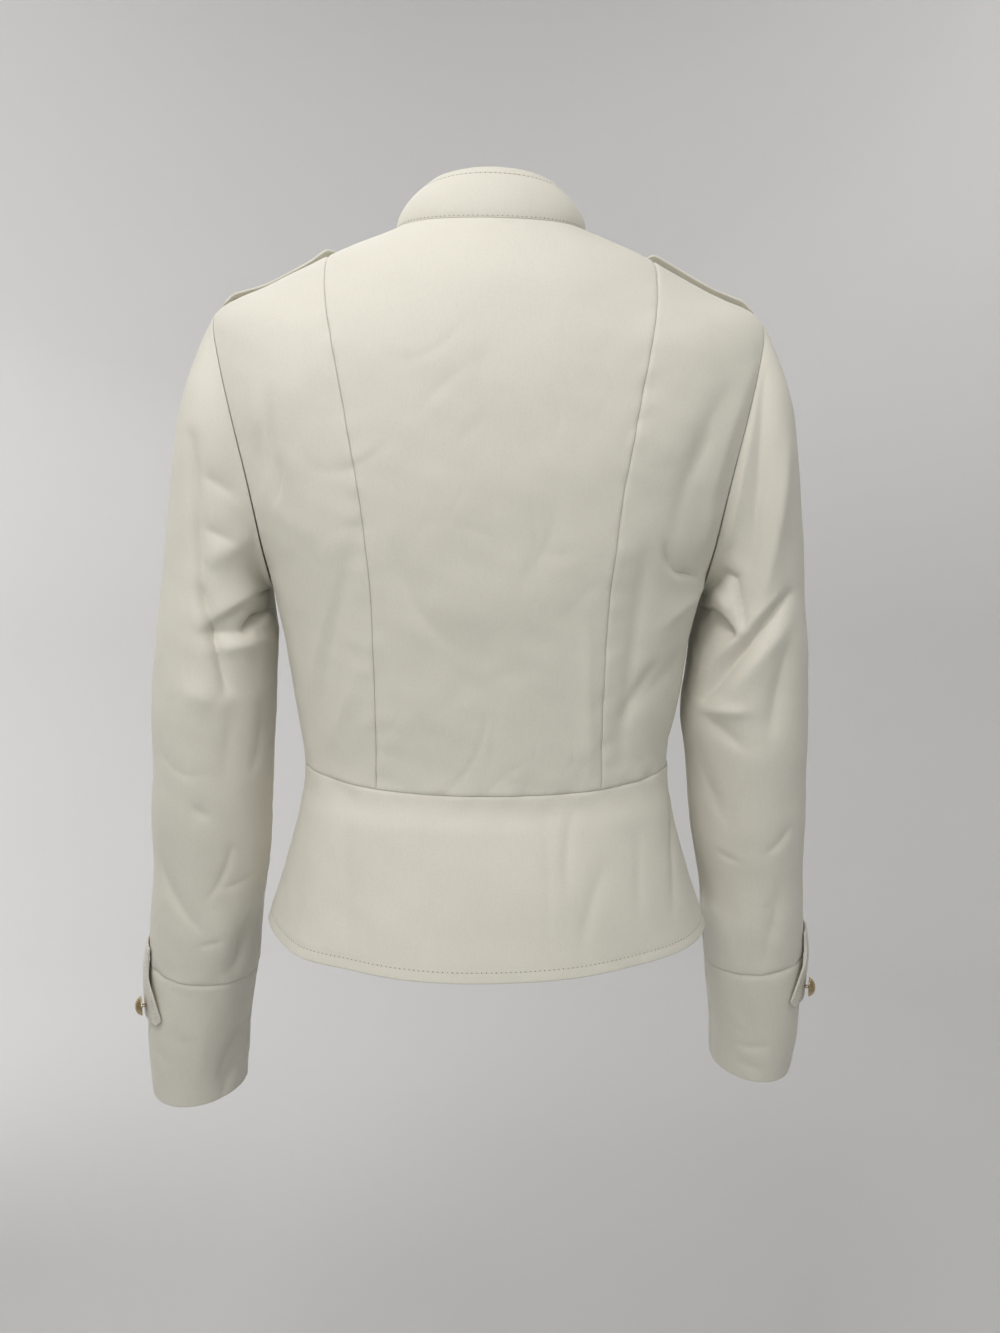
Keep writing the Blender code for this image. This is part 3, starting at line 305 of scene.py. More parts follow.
RIGHT_SLEEVE_IN_FRONT = columns(CREASE_COLUMNS, [
    (-0.170, -0.258, -0.232, -0.298, 16.0, 8.0, -6.2, -3.0),
    (-0.170, -0.292, -0.226, -0.326, 9.0, 9.0, 3.4, -3.0),
    (-0.174, -0.330, -0.232, -0.350, 9.0, 6.0, -3.2, -3.0),
    (-0.220, -0.146, -0.196, -0.250, 7.0, 7.0, -2.3, 3.0),
    (-0.192, -0.130, -0.180, -0.230, 8.0, 8.0, 1.7, 0.0),
    (-0.182, -0.438, -0.230, -0.418, 6.0, 6.0, -2.0, -3.0),
    (-0.192, -0.498, -0.232, -0.516, 6.0, 6.0, -1.7, 2.0),
])
NO_CREASES = {}
SLEEVE_CREASES = {1: (LEFT_SLEEVE_BEHIND, LEFT_SLEEVE_IN_FRONT),
                  -1: (RIGHT_SLEEVE_BEHIND, RIGHT_SLEEVE_IN_FRONT)}
CUFF_CREASES = {1: (LEFT_CUFF_BEHIND, NO_CREASES), -1: (RIGHT_CUFF_BEHIND, NO_CREASES)}

EPAULETTE = columns("x width lift_left lift_right", [
    (0.1120, 0.45, 0.0036, 0.0016), (0.1190, 1.00, 0.0030, 0.0032), (0.1310, 1.00, 0.0008, 0.0032),
    (0.1470, 1.00, 0.0002, 0.0026), (0.1630, 1.00, 0.0002, 0.0024), (0.1780, 1.00, 0.0018, 0.0028),
    (0.1880, 1.00, 0.0024, 0.0026), (0.1940, 1.00, -0.0002, -0.0002),
])
EPAULETTE_MIDDLE_Y, EPAULETTE_HALF_WIDTH, EPAULETTE_SLOPE, EPAULETTE_ARCH = -0.017, 0.0185, 0.384, 3.0
TAB = columns("drop width lift wrap around", [
    (0.000, 1.00, 0.0002, 0.90, 14), (0.012, 1.00, 0.0012, 0.70, 17), (0.024, 1.00, 0.0022, 0.60, 23),
    (0.036, 1.00, 0.0016, 0.70, 31), (0.048, 1.00, 0.0006, 0.85, 37), (0.055, 0.95, 0.0002, 0.95, 40),
    (0.060, 0.60, 0.0002, 0.95, 41),
])
TAB_HALF_WIDTH, TAB_TOP, TAB_ROOM = 0.0175, {1: -0.5445, -1: -0.532}, 0.0002


# ---------------------------------------------------------------- surfaces

def smooth(knots, values, at):
    """Read a smooth curve through a table's values."""
    slopes = np.gradient(values, knots)
    place = np.clip(np.searchsorted(knots, at, side="right") - 1, 0, len(knots) - 2)
    span = knots[place + 1] - knots[place]
    part = (at - knots[place]) / span
    rise = values[place + 1] - values[place]
    return (values[place] + rise * part ** 2 * (3 - 2 * part)
            + span * part * (1 - part) * (slopes[place] * (1 - part) - slopes[place + 1] * part))


def read(table, name, at):
    """Read one column of a table at a place along its first column."""
    knots = next(iter(table.values()))
    return smooth(knots, table[name], np.asarray(at, float))


def flute(turn, level):
    """How far the peplum's flutes stand out or in, from nothing at the waist."""
    swing = np.zeros(np.broadcast(turn, level).shape)
    for centre, spread, depth in zip(*FLUTES.values()):
        swing = swing + depth * np.exp(-((turn - centre) / spread) ** 2)
    return swing * np.clip((level - WAIST) / (HEM - WAIST), 0, 1) ** 1.3


def body_point(level, turn, side=1):
    """Point on the body: turn goes from the back centre (0) past the side (90) to the front (180)."""
    level, turn = np.broadcast_arrays(np.asarray(level, float), np.asarray(turn, float))
    behind = turn <= SIDE
    angle = np.radians(np.where(behind, turn, FRONT_CENTRE - turn))
    power = np.where(behind, read(BODY, "back_power", level), read(BODY, "front_power", level))
    depth = np.where(behind, read(BODY, "back_y", level), read(BODY, "front_y", level))
    end_z = np.where(behind, read(BODY, "back_z", level), read(BODY, "front_z", level))
    side_y, side_z = read(BODY, "side_y", level), read(BODY, "side_z", level)
    wide = np.abs(np.sin(angle)) ** (2 / power)
    deep = np.abs(np.cos(angle)) ** (2 / power)
    out = flute(turn * side, level)
    x = (read(BODY, "half_width", level) + out) * wide
    y = side_y + (depth + np.sign(depth) * out - side_y) * deep
    z = side_z + (end_z - side_z) * np.cos(angle) ** 2
    return np.stack([x * side, y, z], -1)


def seam_turn(level, x, front=False):
    """Turn at which the body's ring at a level is x from the centre line."""
    power = read(BODY, "front_power" if front else "back_power", level)
    share = np.clip(np.asarray(x) / read(BODY, "half_width", level), 0, 1)
    turn = np.degrees(np.arcsin(share ** (power / 2)))
    return FRONT_CENTRE - turn if front else turn


def patch(top, bottom, start, end, across, down):
    """Fill four edges of places with a grid: top and bottom run across, start and end run down."""
    across, down = across[None, :, None], down[:, None, None]
    ruled = ((1 - down) * top[None] + down * bottom[None]
             + (1 - across) * start[:, None] + across * end[:, None])
    corners = ((1 - down) * ((1 - across) * top[0] + across * top[-1])
               + down * ((1 - across) * bottom[0] + across * bottom[-1]))
    return ruled - corners


def line(first, last, share):
    """Places along a straight run."""
    return np.asarray(first, float) + (np.asarray(last, float) - np.asarray(first, float)) * share[:, None]


def shares(length, step, packed=(True, True)):
    """Shares of a length for a grid's rows, close together at its edges."""
    rows = np.array(EDGE_ROWS)
    first = rows if packed[0] else rows[:1]
    last = rows if packed[1] else rows[:1]
    count = max(2, round((length - first[-1] - last[-1]) / step))
    middle = np.linspace(first[-1], length - last[-1], count + 1)
    return np.concatenate([first[:-1], middle, (length - last[:-1])[::-1]]) / length


def side_level(share):
    """Level of the armhole and side seam at each share of their run."""
    armhole = np.clip(share / ARMHOLE_SHARE, 0, 1)
    below = np.clip((share - ARMHOLE_SHARE) / (1 - ARMHOLE_SHARE), 0, 1)
    swung = SHOULDER_TIP + (UNDERARM - SHOULDER_TIP) * (1 - np.cos(armhole * math.pi)) / 2
    return swung + (WAIST - UNDERARM) * below


def down_level(top, share):
    """Level of a long seam at each share, in step with the armhole beside it."""
    upper = np.clip(share / ARMHOLE_SHARE, 0, 1)
    below = np.clip((share - ARMHOLE_SHARE) / (1 - ARMHOLE_SHARE), 0, 1)
    return top + (UNDERARM - top) * upper + (WAIST - UNDERARM) * below


def centre_places(edge_x, princess, front, across, down):
    """Levels and turns over a centre panel, from its centre edge to the princess seam."""
    swing = np.clip(across / NECK_SHARE, 0, 1) * math.pi / 2
    neck = edge_x + (read(BODY, "half_width", NECK) - edge_x) * np.sin(swing)
    shoulder = SEAM_AT_SHOULDER * np.clip((across - NECK_SHARE) / (1 - NECK_SHARE), 0, 1)
    top = np.stack([shoulder, np.where(across <= NECK_SHARE, neck, read(BODY, "half_width", shoulder))], -1)
    long_edge, princess_edge = down_level(NECK, down), down_level(SEAM_AT_SHOULDER, down)
    start = np.stack([long_edge, np.full_like(long_edge, edge_x)], -1)
    end = np.stack([princess_edge, read(princess, "x", princess_edge)], -1)
    grid = patch(top, line(start[-1], end[-1], across), start, end, across, down)
    return grid[..., 0], seam_turn(grid[..., 0], grid[..., 1], front)


def side_places(princess, armhole, front, across, down):
    """Levels and turns over a side panel, from the princess seam to the armhole and the side seam."""
    level = down_level(SEAM_AT_SHOULDER, down)
    start = np.stack([level, seam_turn(level, read(princess, "x", level), front)], -1)
    level = side_level(down)
    turn = np.where(down < ARMHOLE_SHARE, seam_turn(level, read(armhole, "x", level), front), SIDE)
    end = np.stack([level, turn], -1)
    top = line((SEAM_AT_SHOULDER, SIDE), (SHOULDER_TIP, SIDE), across)
    grid = patch(top, line(start[-1], end[-1], across), start, end, across, down)
    return grid[..., 0], grid[..., 1]


def collar_point(height, turn, side=1):
    """Point on the stand collar: height goes from its base (0) to its top edge (1)."""
    height, turn = np.broadcast_arrays(np.asarray(height, float), np.asarray(turn, float))
    base = body_point(np.zeros_like(turn), turn, side)
    behind = turn <= SIDE
    angle = np.radians(turn)
    top = COLLAR_TOP
    end_z = np.where(behind, top["back_z"], top["front_z"])
    x = side * top["half_width"] * np.sin(angle)
    y = np.where(behind, top["back_y"], -top["front_y"]) * np.cos(angle)
    z = top["side_z"] + (end_z - top["side_z"]) * np.cos(angle) ** 2
    point = base + (np.stack([x, y, z], -1) - base) * height[..., None]
    bulge = COLLAR_BULGE * 4 * height * (1 - height) * (1 + COLLAR_FULLNESS * np.sin(angle) ** 2)
    away = np.stack([side * np.sin(angle), np.cos(angle), np.zeros_like(angle)], -1)
    return point + away * bulge[..., None] + np.array((0, 0, COLLAR_LIFT))


def collar_front_turn(height, x):
    """Turn at which the front of the collar is x from the centre line."""
    straight = read(BODY, "half_width", NECK) * (1 - height) + COLLAR_TOP["half_width"] * height
    return FRONT_CENTRE - np.degrees(np.arcsin(x / (straight + COLLAR_BULGE * 4 * height * (1 - height))))


def sleeve_ring(table, along, around, side):
    """Point on the sleeve below the cap."""
    angle = np.radians(around)
    outward = np.cos(angle)
    x = read(table, "x", along) + read(table, "half_width", along) * outward
    y = read(table, "y", along) + read(table, "half_depth", along) * np.sin(angle)
    z = read(table, "z", along) + read(table, "lean", along) * outward
    return np.stack([x * side, y, z], -1)


def armhole_start(around, side):
    """Where the sleeve starts: the armhole's edge, moved out of the body by the seam's room."""
    turned = np.abs((np.asarray(around, float) + 180) % 360 - 180)
    level = SHOULDER_TIP + (UNDERARM - SHOULDER_TIP) * (1 - np.cos(np.radians(turned))) / 2
    front = np.asarray(around, float) % 360 > 180
    behind_turn = seam_turn(level, read(BACK_ARMHOLE, "x", level))
    front_turn = seam_turn(level, read(FRONT_ARMHOLE, "x", level), front=True)
    point = body_point(level, np.where(front, front_turn, behind_turn), side)
    under = (1 - np.cos(np.radians(around))) / 2
    point[..., 0] += side * (ARMHOLE_ROOM + (CAD_CLOTH + UNDERARM_ROOM) * under ** 2)
    return point


def sleeve_point(along, around, side):
    """Point on the sleeve: along goes from the armhole (0) past the biceps (1) to the cuff's edge."""
    table = SLEEVES[side]
    along, around = np.broadcast_arrays(np.asarray(along, float), np.asarray(around, float))
    lower = sleeve_ring(table, np.maximum(along, 1), around, side)
    start = armhole_start(around, side)
    end = sleeve_ring(table, np.ones_like(along), around, side)
    reach = np.linalg.norm(end - start, axis=-1, keepdims=True)
    tip = (1 + np.cos(np.radians(around))) / 2
    out, up = (low + (high - low) * tip for low, high in zip(UNDERARM_LEAVE, TIP_LEAVE))
    leave = np.stack([side * out, BACK_LEAVE * np.sin(np.radians(around)), up], -1) * reach
    arrive = sleeve_ring(table, np.full_like(along, 1.1), around, side) - end
    arrive = arrive / np.linalg.norm(arrive, axis=-1, keepdims=True) * reach
    t = np.minimum(along, 1)[..., None]
    cap = (start * (2 * t ** 3 - 3 * t ** 2 + 1) + end * (3 * t ** 2 - 2 * t ** 3)
           + leave * (t ** 3 - 2 * t ** 2 + t) + arrive * (t ** 3 - t ** 2))
    return np.where((along < 1)[..., None], cap, lower)


# ---------------------------------------------------------------- folds and unevenness

FOLD_ROUND, FOLD_STEEP = 0.30, 1.50      # how round a crease's bottom is, and how fast its sides rise
FOLD_UNIT = 0.0015                       # depth of a crease whose column says 1
BOW_UNIT = 0.004                         # and its bend where bow says 1
TAPER_SPAN, TAPER_POWER = 0.86, 0.7      # how a crease fades towards its ends
BEHIND_BLEND, BEHIND_SHARE = 3.0, 0.45   # where the creases seen from behind give way to those in front
RIPPLE_WAVES = 10
MILLIMETRE = 0.001


def crease(points, table):
    """Sum of a table's creases at each point, in metres outwards."""
    total = np.zeros(points.shape[:-1])
    x, z = points[..., 0], points[..., 2]
    for x_0, z_0, x_1, z_1, left, right, depth, bow in zip(*table.values()):
        length = math.hypot(x_1 - x_0, z_1 - z_0)
        way_x, way_z = (x_1 - x_0) / length, (z_1 - z_0) / length
        part = ((x - x_0) * way_x + (z - z_0) * way_z) / length
        inside = np.clip(part, 0, 1)
        beside = (z - z_0) * way_x - (x - x_0) * way_z - bow * BOW_UNIT * inside * (1 - inside)
        past = (part - inside) * length
        width = np.where(beside > 0, left, right) * MILLIMETRE
        beyond = past / (min(left, right) * MILLIMETRE)
        away = np.sqrt((beside / width) ** 2 + beyond ** 2 + FOLD_ROUND ** 2)
        taper = np.sin(math.pi * (inside * TAPER_SPAN + (1 - TAPER_SPAN) / 2)) ** TAPER_POWER
        total += taper * depth * FOLD_UNIT * np.exp((FOLD_ROUND - away) * FOLD_STEEP)
    return total


def ripple(points, wavelength, seed):
    """Gentle unevenness of about that wavelength, the same each time."""
    pick = np.random.default_rng(seed)
    ways = pick.normal(size=(RIPPLE_WAVES, 3))
    ways /= np.linalg.norm(ways, axis=1, keepdims=True)
    ways *= 2 * math.pi / wavelength * pick.uniform(0.7, 1.35, (RIPPLE_WAVES, 1))
    phases = pick.uniform(0, 2 * math.pi, RIPPLE_WAVES)
    return np.sin(points @ ways.T + phases).sum(-1) / math.sqrt(RIPPLE_WAVES)


def unit(vectors):
    """Vectors at length 1."""
    return vectors / np.maximum(np.linalg.norm(vectors, axis=-1, keepdims=True), 1e-12)


def normals(points, outward):
    """Normals of a grid, on the side that outward points to."""
    found = unit(np.cross(np.gradient(points, axis=1), np.gradient(points, axis=0)))
    return found * np.sign((found * outward).sum(-1, keepdims=True) + 1e-12)


def runs(points):
    """Distances along the grid's lines from each of its four edges: top, bottom, start, end."""
    down = np.linalg.norm(np.diff(points, axis=0), axis=-1)
    across = np.linalg.norm(np.diff(points, axis=1), axis=-1)
    top = np.concatenate([np.zeros((1, points.shape[1])), np.cumsum(down, axis=0)])
    start = np.concatenate([np.zeros((points.shape[0], 1)), np.cumsum(across, axis=1)], axis=1)
    return {"top": top, "bottom": top[-1:] - top, "start": start, "end": start[:, -1:] - start}


def distances(line_points):
    """Distance of each point along a line from the line's start."""
    return np.concatenate([[0], np.cumsum(np.linalg.norm(np.diff(line_points, axis=0), axis=1))])


def read_line(run, line_points, at):
    """A line of points read at distances along it."""
    return np.stack([np.interp(at, run, line_points[:, axis]) for axis in range(3)], -1)


def step_down(distance, at):
    """1 before a distance, 0 past it, with a short blend."""
    return np.clip((at - distance) / FOLD_BLEND + 0.5, 0, 1)


SEAM_DIP, SEAM_REACH = 0.0006, 0.0015
# Wavelength, seed and height of the cloth's soft swells, and the same of its small creases
SWELLS = (0.080, 4, 0.00050), (0.026, 54, 0.00015)
RUMPLES = (0.075, 71, 0.00045), (0.040, 85, 0.00022)
RUMPLE_WIDTH, RUMPLE_PATCH = 0.20, 0.10     # their width as a share of the swell, and how far apart they come
PUCKER, PUCKER_REACH, PUCKER_LENGTH, PUCKER_SEED = 0.00045, 0.0085, 0.016, 13
LINE_DIP, LINE_REACH = 0.00040, 0.0010
EDGE_ROUNDING, FOLD_BLEND = 0.00045, 0.0012     # of a wall's edges, and where a turned-in edge ends
WELD = 1e-6


def cloth_form(points, outward, seams, creases, free, lines):
    """Fold a plain grid, dip it at its seams and stitched lines and ruffle it: the grid and its normals."""
    out = normals(points, outward)
    away = runs(points)
    from_seam = np.full(points.shape[:2], 1.0)
    for name in seams.split():
        from_seam = np.minimum(from_seam, away[name])
    lift = sum(height * ripple(points, length, seed) for length, seed, height in SWELLS)
    for length, seed, depth in RUMPLES:
        here = np.clip(ripple(points, RUMPLE_PATCH, seed + 1), 0, 1)
        lift -= depth * here * np.exp(-(ripple(points, length, seed) / RUMPLE_WIDTH) ** 2)
    behind = np.clip(out[..., 1] * BEHIND_BLEND + BEHIND_SHARE, 0, 1)
    folds = behind * crease(points, creases[0]) + (1 - behind) * crease(points, creases[1])
    lift += folds * bpy.context.scene.jacket_look.folds
    lift -= SEAM_DIP * np.exp(-(from_seam / SEAM_REACH) ** 2)
    lift += PUCKER * np.exp(-from_seam / PUCKER_REACH) * ripple(points, PUCKER_LENGTH, PUCKER_SEED)
    for name, distance in lines:
        lift -= LINE_DIP * np.exp(-((away[name] - distance) / LINE_REACH) ** 2)
    folded = points + out * (lift * free)[..., None]
    return folded, normals(folded, out)


def closed_wall(name, middle, out, over, under, hem=(), rounding=EDGE_ROUNDING, seam_shade_distance=None):
    """Make a thin wall with rounded edges from a grid.

    It keeps where each point lies on the flat cloth, and how far it is from the edges that get painted seam
    shade.
    """
    away = runs(middle)
    edge = np.minimum.reduce(list(away.values()))
    # Distances that set where the painted seam shade falls; by default from every edge.
    seam_shade_distance = edge if seam_shade_distance is None else seam_shade_distance
    share = 1 - np.clip(edge / rounding, 0, 1)
    rounded = np.sqrt(np.maximum(1 - share ** 2, 0))
    for side_name, width, fold in hem:
        under = under + fold * step_down(away[side_name], width)
    middle_row, middle_column = middle.shape[0] // 2, middle.shape[1] // 2
    across = away["start"] - away["start"][:, middle_column:middle_column + 1]
    down = away["top"] - away["top"][middle_row:middle_row + 1, :]
    mesh = bmesh.new()
    flat = mesh.verts.layers.float_vector.new("flat")
    for way, thickness in ((1, over), (-1, under)):
        points = middle + out * (way * thickness * rounded)[..., None]
        made = bmesh.ops.create_grid(mesh, x_segments=middle.shape[1] - 1, y_segments=middle.shape[0] - 1,
                                     size=1)
        places = zip(made["verts"], points.reshape(-1, 3), across.ravel(), down.ravel(), seam_shade_distance.ravel())
        for vert, place, u, v, near in places:
            vert.co = place
            vert[flat] = (u, v, near)
    rim = [vert for vert in mesh.verts if vert.is_boundary]
    bmesh.ops.remove_doubles(mesh, verts=rim, dist=WELD)
    bmesh.ops.recalc_face_normals(mesh, faces=mesh.faces)
    return finish(name, mesh)


def finish(name, mesh, sharp=60):
    """Turn a bmesh into a smooth piece of the scene."""
    name = name.replace(" ", "_")
    data = bpy.data.meshes.new(name)
    mesh.to_mesh(data)
    mesh.free()
    data.shade_smooth()
    data.set_sharp_from_angle(angle=math.radians(sharp))
    piece = bpy.data.objects.new(name, data)
    bpy.context.scene.collection.objects.link(piece)
    return piece


def dress(piece, finish_material, slot, *nodes, body=BODY_NAME):
    """Give a piece its finish and its place on the frame."""
    piece.data.materials.append(finish_material)
    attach(piece, body)
    if nodes:
        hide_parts(*nodes)
    return piece


# ---------------------------------------------------------------- finishes

def wire(tree, source, target):
    """Join two sockets."""
    tree.links.new(source, target)


def math_node(tree, operation, *values):
    """A maths node on numbers or sockets."""
    node = tree.nodes.new("ShaderNodeMath")
    node.operation = operation
    for socket, value in zip(node.inputs, values):
        if isinstance(value, (int, float)):
            socket.default_value = value
        else:
            wire(tree, value, socket)
    return node.outputs[0]


def ramp_node(tree, value, low, high, to_low=0.0, to_high=1.0):
    """Spread a value's range to another, held at both ends."""
    node = tree.nodes.new("ShaderNodeMapRange")
    node.interpolation_type = "SMOOTHSTEP"
    wire(tree, value, node.inputs["Value"])
    for name, number in (("From Min", low), ("From Max", high), ("To Min", to_low), ("To Max", to_high)):
        node.inputs[name].default_value = number
    return node.outputs["Result"]


def mix_colours(tree, factor, first, second):
    """Blend two colours."""
    node = tree.nodes.new("ShaderNodeMix")
    node.data_type = "RGBA"
    colours = [socket for socket in node.inputs if socket.type == "RGBA"]
    for socket, value in ((node.inputs[0], factor), (colours[0], first), (colours[1], second)):
        if isinstance(value, (int, float, tuple)):
            socket.default_value = value
        else:
            wire(tree, value, socket)
    return next(socket for socket in node.outputs if socket.type == "RGBA")


def noise(tree, vector, scale, detail=2.0, rough=0.5):
    """A noise value over a vector."""
    node = tree.nodes.new("ShaderNodeTexNoise")
    wire(tree, vector, node.inputs["Vector"])
    for name, number in (("Scale", scale), ("Detail", detail), ("Roughness", rough)):
        node.inputs[name].default_value = number
    return node.outputs["Fac"]


def new_group(name, inputs, outputs):
    """An empty shader group with its sockets."""
    group = bpy.data.node_groups.new(name, "ShaderNodeTree")
    for label, kind, value in inputs:
        socket = group.interface.new_socket(label, in_out="INPUT", socket_type=kind)
        if value is not None:
            socket.default_value = value
    for label, kind in outputs:
        group.interface.new_socket(label, in_out="OUTPUT", socket_type=kind)
    return group, group.nodes.new("NodeGroupInput").outputs, group.nodes.new("NodeGroupOutput").inputs


FLOAT, VECTOR, COLOUR = "NodeSocketFloat", "NodeSocketVector", "NodeSocketColor"


def weave_group():
    """Sateen weave over the flat cloth's own lengths: long floats in rows that step along."""
    group, given, result = new_group("Sateen weave", [
        ("Flat", VECTOR, None), ("Thread", FLOAT, 0.00042), ("Height", FLOAT, 0.00006)],
        [("Value", FLOAT), ("Normal", VECTOR)])
    split = group.nodes.new("ShaderNodeSeparateXYZ")
    wire(group, given["Flat"], split.inputs[0])
    across = math_node(group, "DIVIDE", split.outputs["X"], given["Thread"])
    along = math_node(group, "DIVIDE", split.outputs["Y"], given["Thread"])
    ribs = math_node(group, "SINE", math_node(group, "MULTIPLY", across, 2 * math.pi))
    lean = math_node(group, "ADD", math_node(group, "MULTIPLY", across, 0.4),
                     math_node(group, "MULTIPLY", along, 0.2))
    floats = math_node(group, "SINE", math_node(group, "MULTIPLY", lean, 2 * math.pi))
    woven = math_node(group, "ADD", math_node(group, "MULTIPLY", ribs, 0.12),
                      math_node(group, "MULTIPLY", floats, 0.16))
    value = math_node(group, "ADD", woven, noise(group, given["Flat"], 800.0, 2.0, 0.6))
    bump = group.nodes.new("ShaderNodeBump")
    bump.inputs["Strength"].default_value = 0.55
    wire(group, given["Height"], bump.inputs["Distance"])
    wire(group, value, bump.inputs["Height"])
    wire(group, value, result["Value"])
    wire(group, bump.outputs["Normal"], result["Normal"])
    return group


def tint_and_seam_shade_group():
    """Cloth's uneven tint: broad soft clouds and faint slubs along the threads, and painted shade near the
    edges, in the seams' grooves.
    """
    group, given, result = new_group("Cloth tint and seam shade", [
        ("Flat", VECTOR, None), ("Clean", COLOUR, (0.8, 0.8, 0.8, 1)), ("Darker tone and shade", COLOUR, (0.6, 0.6, 0.6, 1)),
        ("Seam", FLOAT, 0.5)],
        [("Colour", COLOUR), ("Cloud", FLOAT), ("Seam shade mask", FLOAT)])
    place = group.nodes.new("ShaderNodeTexCoord").outputs["Object"]
    cloud = noise(group, place, 9.0, 3.0, 0.55)
    stretch = group.nodes.new("ShaderNodeVectorMath")
    stretch.operation = "MULTIPLY"
    stretch.inputs[1].default_value = (1500.0, 60.0, 0.0)
    wire(group, given["Flat"], stretch.inputs[0])
    slub = noise(group, stretch.outputs[0], 1.0, 2.0, 0.6)
    split = group.nodes.new("ShaderNodeSeparateXYZ")
    wire(group, given["Flat"], split.inputs[0])
    # Painted shade: the cloth darkens within 1.6 mm of its edges, where the seams' grooves lie in shade.
    seam = ramp_node(group, split.outputs["Z"], 0.0001, 0.0016, 1.0, 0.0)
    grain = noise(group, given["Flat"], 620.0, 1.0, 0.5)
    fine = math_node(group, "ADD", ramp_node(group, slub, 0.42, 0.72, 0.0, 0.10),
                     ramp_node(group, grain, 0.40, 0.72, 0.0, 0.16))
    uneven = math_node(group, "ADD", ramp_node(group, cloud, 0.35, 0.72, 0.0, 0.20), fine)
    darker = math_node(group, "ADD", uneven, math_node(group, "MULTIPLY", seam, given["Seam"]))
    factor = math_node(group, "MINIMUM", darker, 1.0)
    wire(group, mix_colours(group, factor, given["Clean"], given["Darker tone and shade"]), result["Colour"])
    wire(group, cloud, result["Cloud"])
    wire(group, seam, result["Seam shade mask"])
    return group


def group_node(tree, group):
    """A node that runs a shared group."""
    node = tree.nodes.new("ShaderNodeGroup")
    node.node_tree = group
    return node


def new_material(name, **values):
    """A material with its Principled shader and the values that stay the same all over it."""
    made = bpy.data.materials.new(name)
    made.use_nodes = True
    shader = made.node_tree.nodes["Principled BSDF"]
    for label, value in values.items():
        shader.inputs[label.replace("_", " ")].default_value = value
    return made, made.node_tree, shader


def cloth_material(name, clean, darker_tone_and_shade, weave, tint_and_seam_shade, thread, height=0.00006, seam=0.5, roughness=0.72):
    """Woven cotton: tint and roughness vary a little, with painted shade along its edges at the seams, and
    the weave shows close by.
    """
    made, tree, shader = new_material(name, Sheen_Weight=0.12, Sheen_Roughness=0.45)
    shader.inputs["Specular IOR Level"].default_value = 0.32
    flat = tree.nodes.new("ShaderNodeAttribute")
    flat.attribute_name = "flat"
    tint = group_node(tree, tint_and_seam_shade)
    wire(tree, flat.outputs["Vector"], tint.inputs["Flat"])
    tint.inputs["Clean"].default_value = clean
    # The darker colour serves both the random mottle and the painted shade along the edges; seam sets how
    # strong that painted shade is.
    tint.inputs["Darker tone and shade"].default_value = darker_tone_and_shade
    tint.inputs["Seam"].default_value = seam
    threads = group_node(tree, weave)
    wire(tree, flat.outputs["Vector"], threads.inputs["Flat"])
    threads.inputs["Thread"].default_value = thread
    threads.inputs["Height"].default_value = height
    wire(tree, tint.outputs["Colour"], shader.inputs["Base Color"])
    wire(tree, ramp_node(tree, tint.outputs["Cloud"], 0.3, 0.7, roughness - 0.05, roughness + 0.07),
         shader.inputs["Roughness"])
    wire(tree, threads.outputs["Normal"], shader.inputs["Normal"])
    return made


def metal_material(name, colour, worn, roughness):
    """Metal with soft uneven polish."""
    made, tree, shader = new_material(name, Metallic=1.0)
    place = tree.nodes.new("ShaderNodeTexCoord").outputs["Object"]
    patches = noise(tree, place, 260.0, 3.0, 0.6)
    polish = mix_colours(tree, ramp_node(tree, patches, 0.4, 0.75), colour, worn)
    wire(tree, polish, shader.inputs["Base Color"])
    wire(tree, ramp_node(tree, patches, 0.3, 0.8, roughness, roughness + 0.16), shader.inputs["Roughness"])
    return made


def shade(colour, share=1.0):
    """An opaque colour at a share of its brightness."""
    return tuple(part * share for part in colour[:3]) + (1.0,)


def plain_material(name, colour, roughness, mottle=0.0):
    """A plain matt surface, with a faint mottle if wanted."""
    made, tree, shader = new_material(name, Roughness=roughness)
    shader.inputs["Base Color"].default_value = colour
    if mottle:
        place = tree.nodes.new("ShaderNodeTexCoord").outputs["Object"]
        mottled = mix_colours(tree, noise(tree, place, 2.2, 4.0, 0.6), colour, shade(colour, 1 - mottle))
        wire(tree, mottled, shader.inputs["Base Color"])
    return made


FINISHES = {}


def finishes():
    """Make every finish once."""
    if FINISHES:
        return FINISHES
    weave, tint_and_seam_shade = weave_group(), tint_and_seam_shade_group()
    look = bpy.context.scene.jacket_look
    cloth, metal = look.cloth_colour, look.metal_colour
    # The cloth's darker colour, at 0.80, serves both its random mottle and the painted shade along its seams.
    FINISHES["cloth"] = cloth_material("cotton sateen", shade(cloth), shade(cloth, 0.80), weave, tint_and_seam_shade,
                                       thread=look.thread)
    FINISHES["thread"] = plain_material("sewing thread", shade(cloth, 0.93), 0.6)
    # Painted shade: dark lenses at the needle's holes stand for the shade inside them.
    FINISHES["hole"] = plain_material("needle hole shade", (0.20, 0.185, 0.15, 1), 0.9)
    FINISHES["tape"] = cloth_material("zip tape", (0.56, 0.53, 0.46, 1), (0.42, 0.40, 0.34, 1), weave, tint_and_seam_shade,
                                      thread=0.0007, height=0.00012, seam=0.0, roughness=0.82)
    FINISHES["brass"] = metal_material("pale brass", shade(metal), shade(metal, 0.72), 0.24)
    FINISHES["wire"] = metal_material("brass wire", shade(metal), shade(metal, 0.72), 0.34)
    return FINISHES


# ---------------------------------------------------------------- stitches

STITCH_WIDTH, STITCH_HEIGHT, HOLE_RADIUS = 0.00072, 0.00062, 0.00046


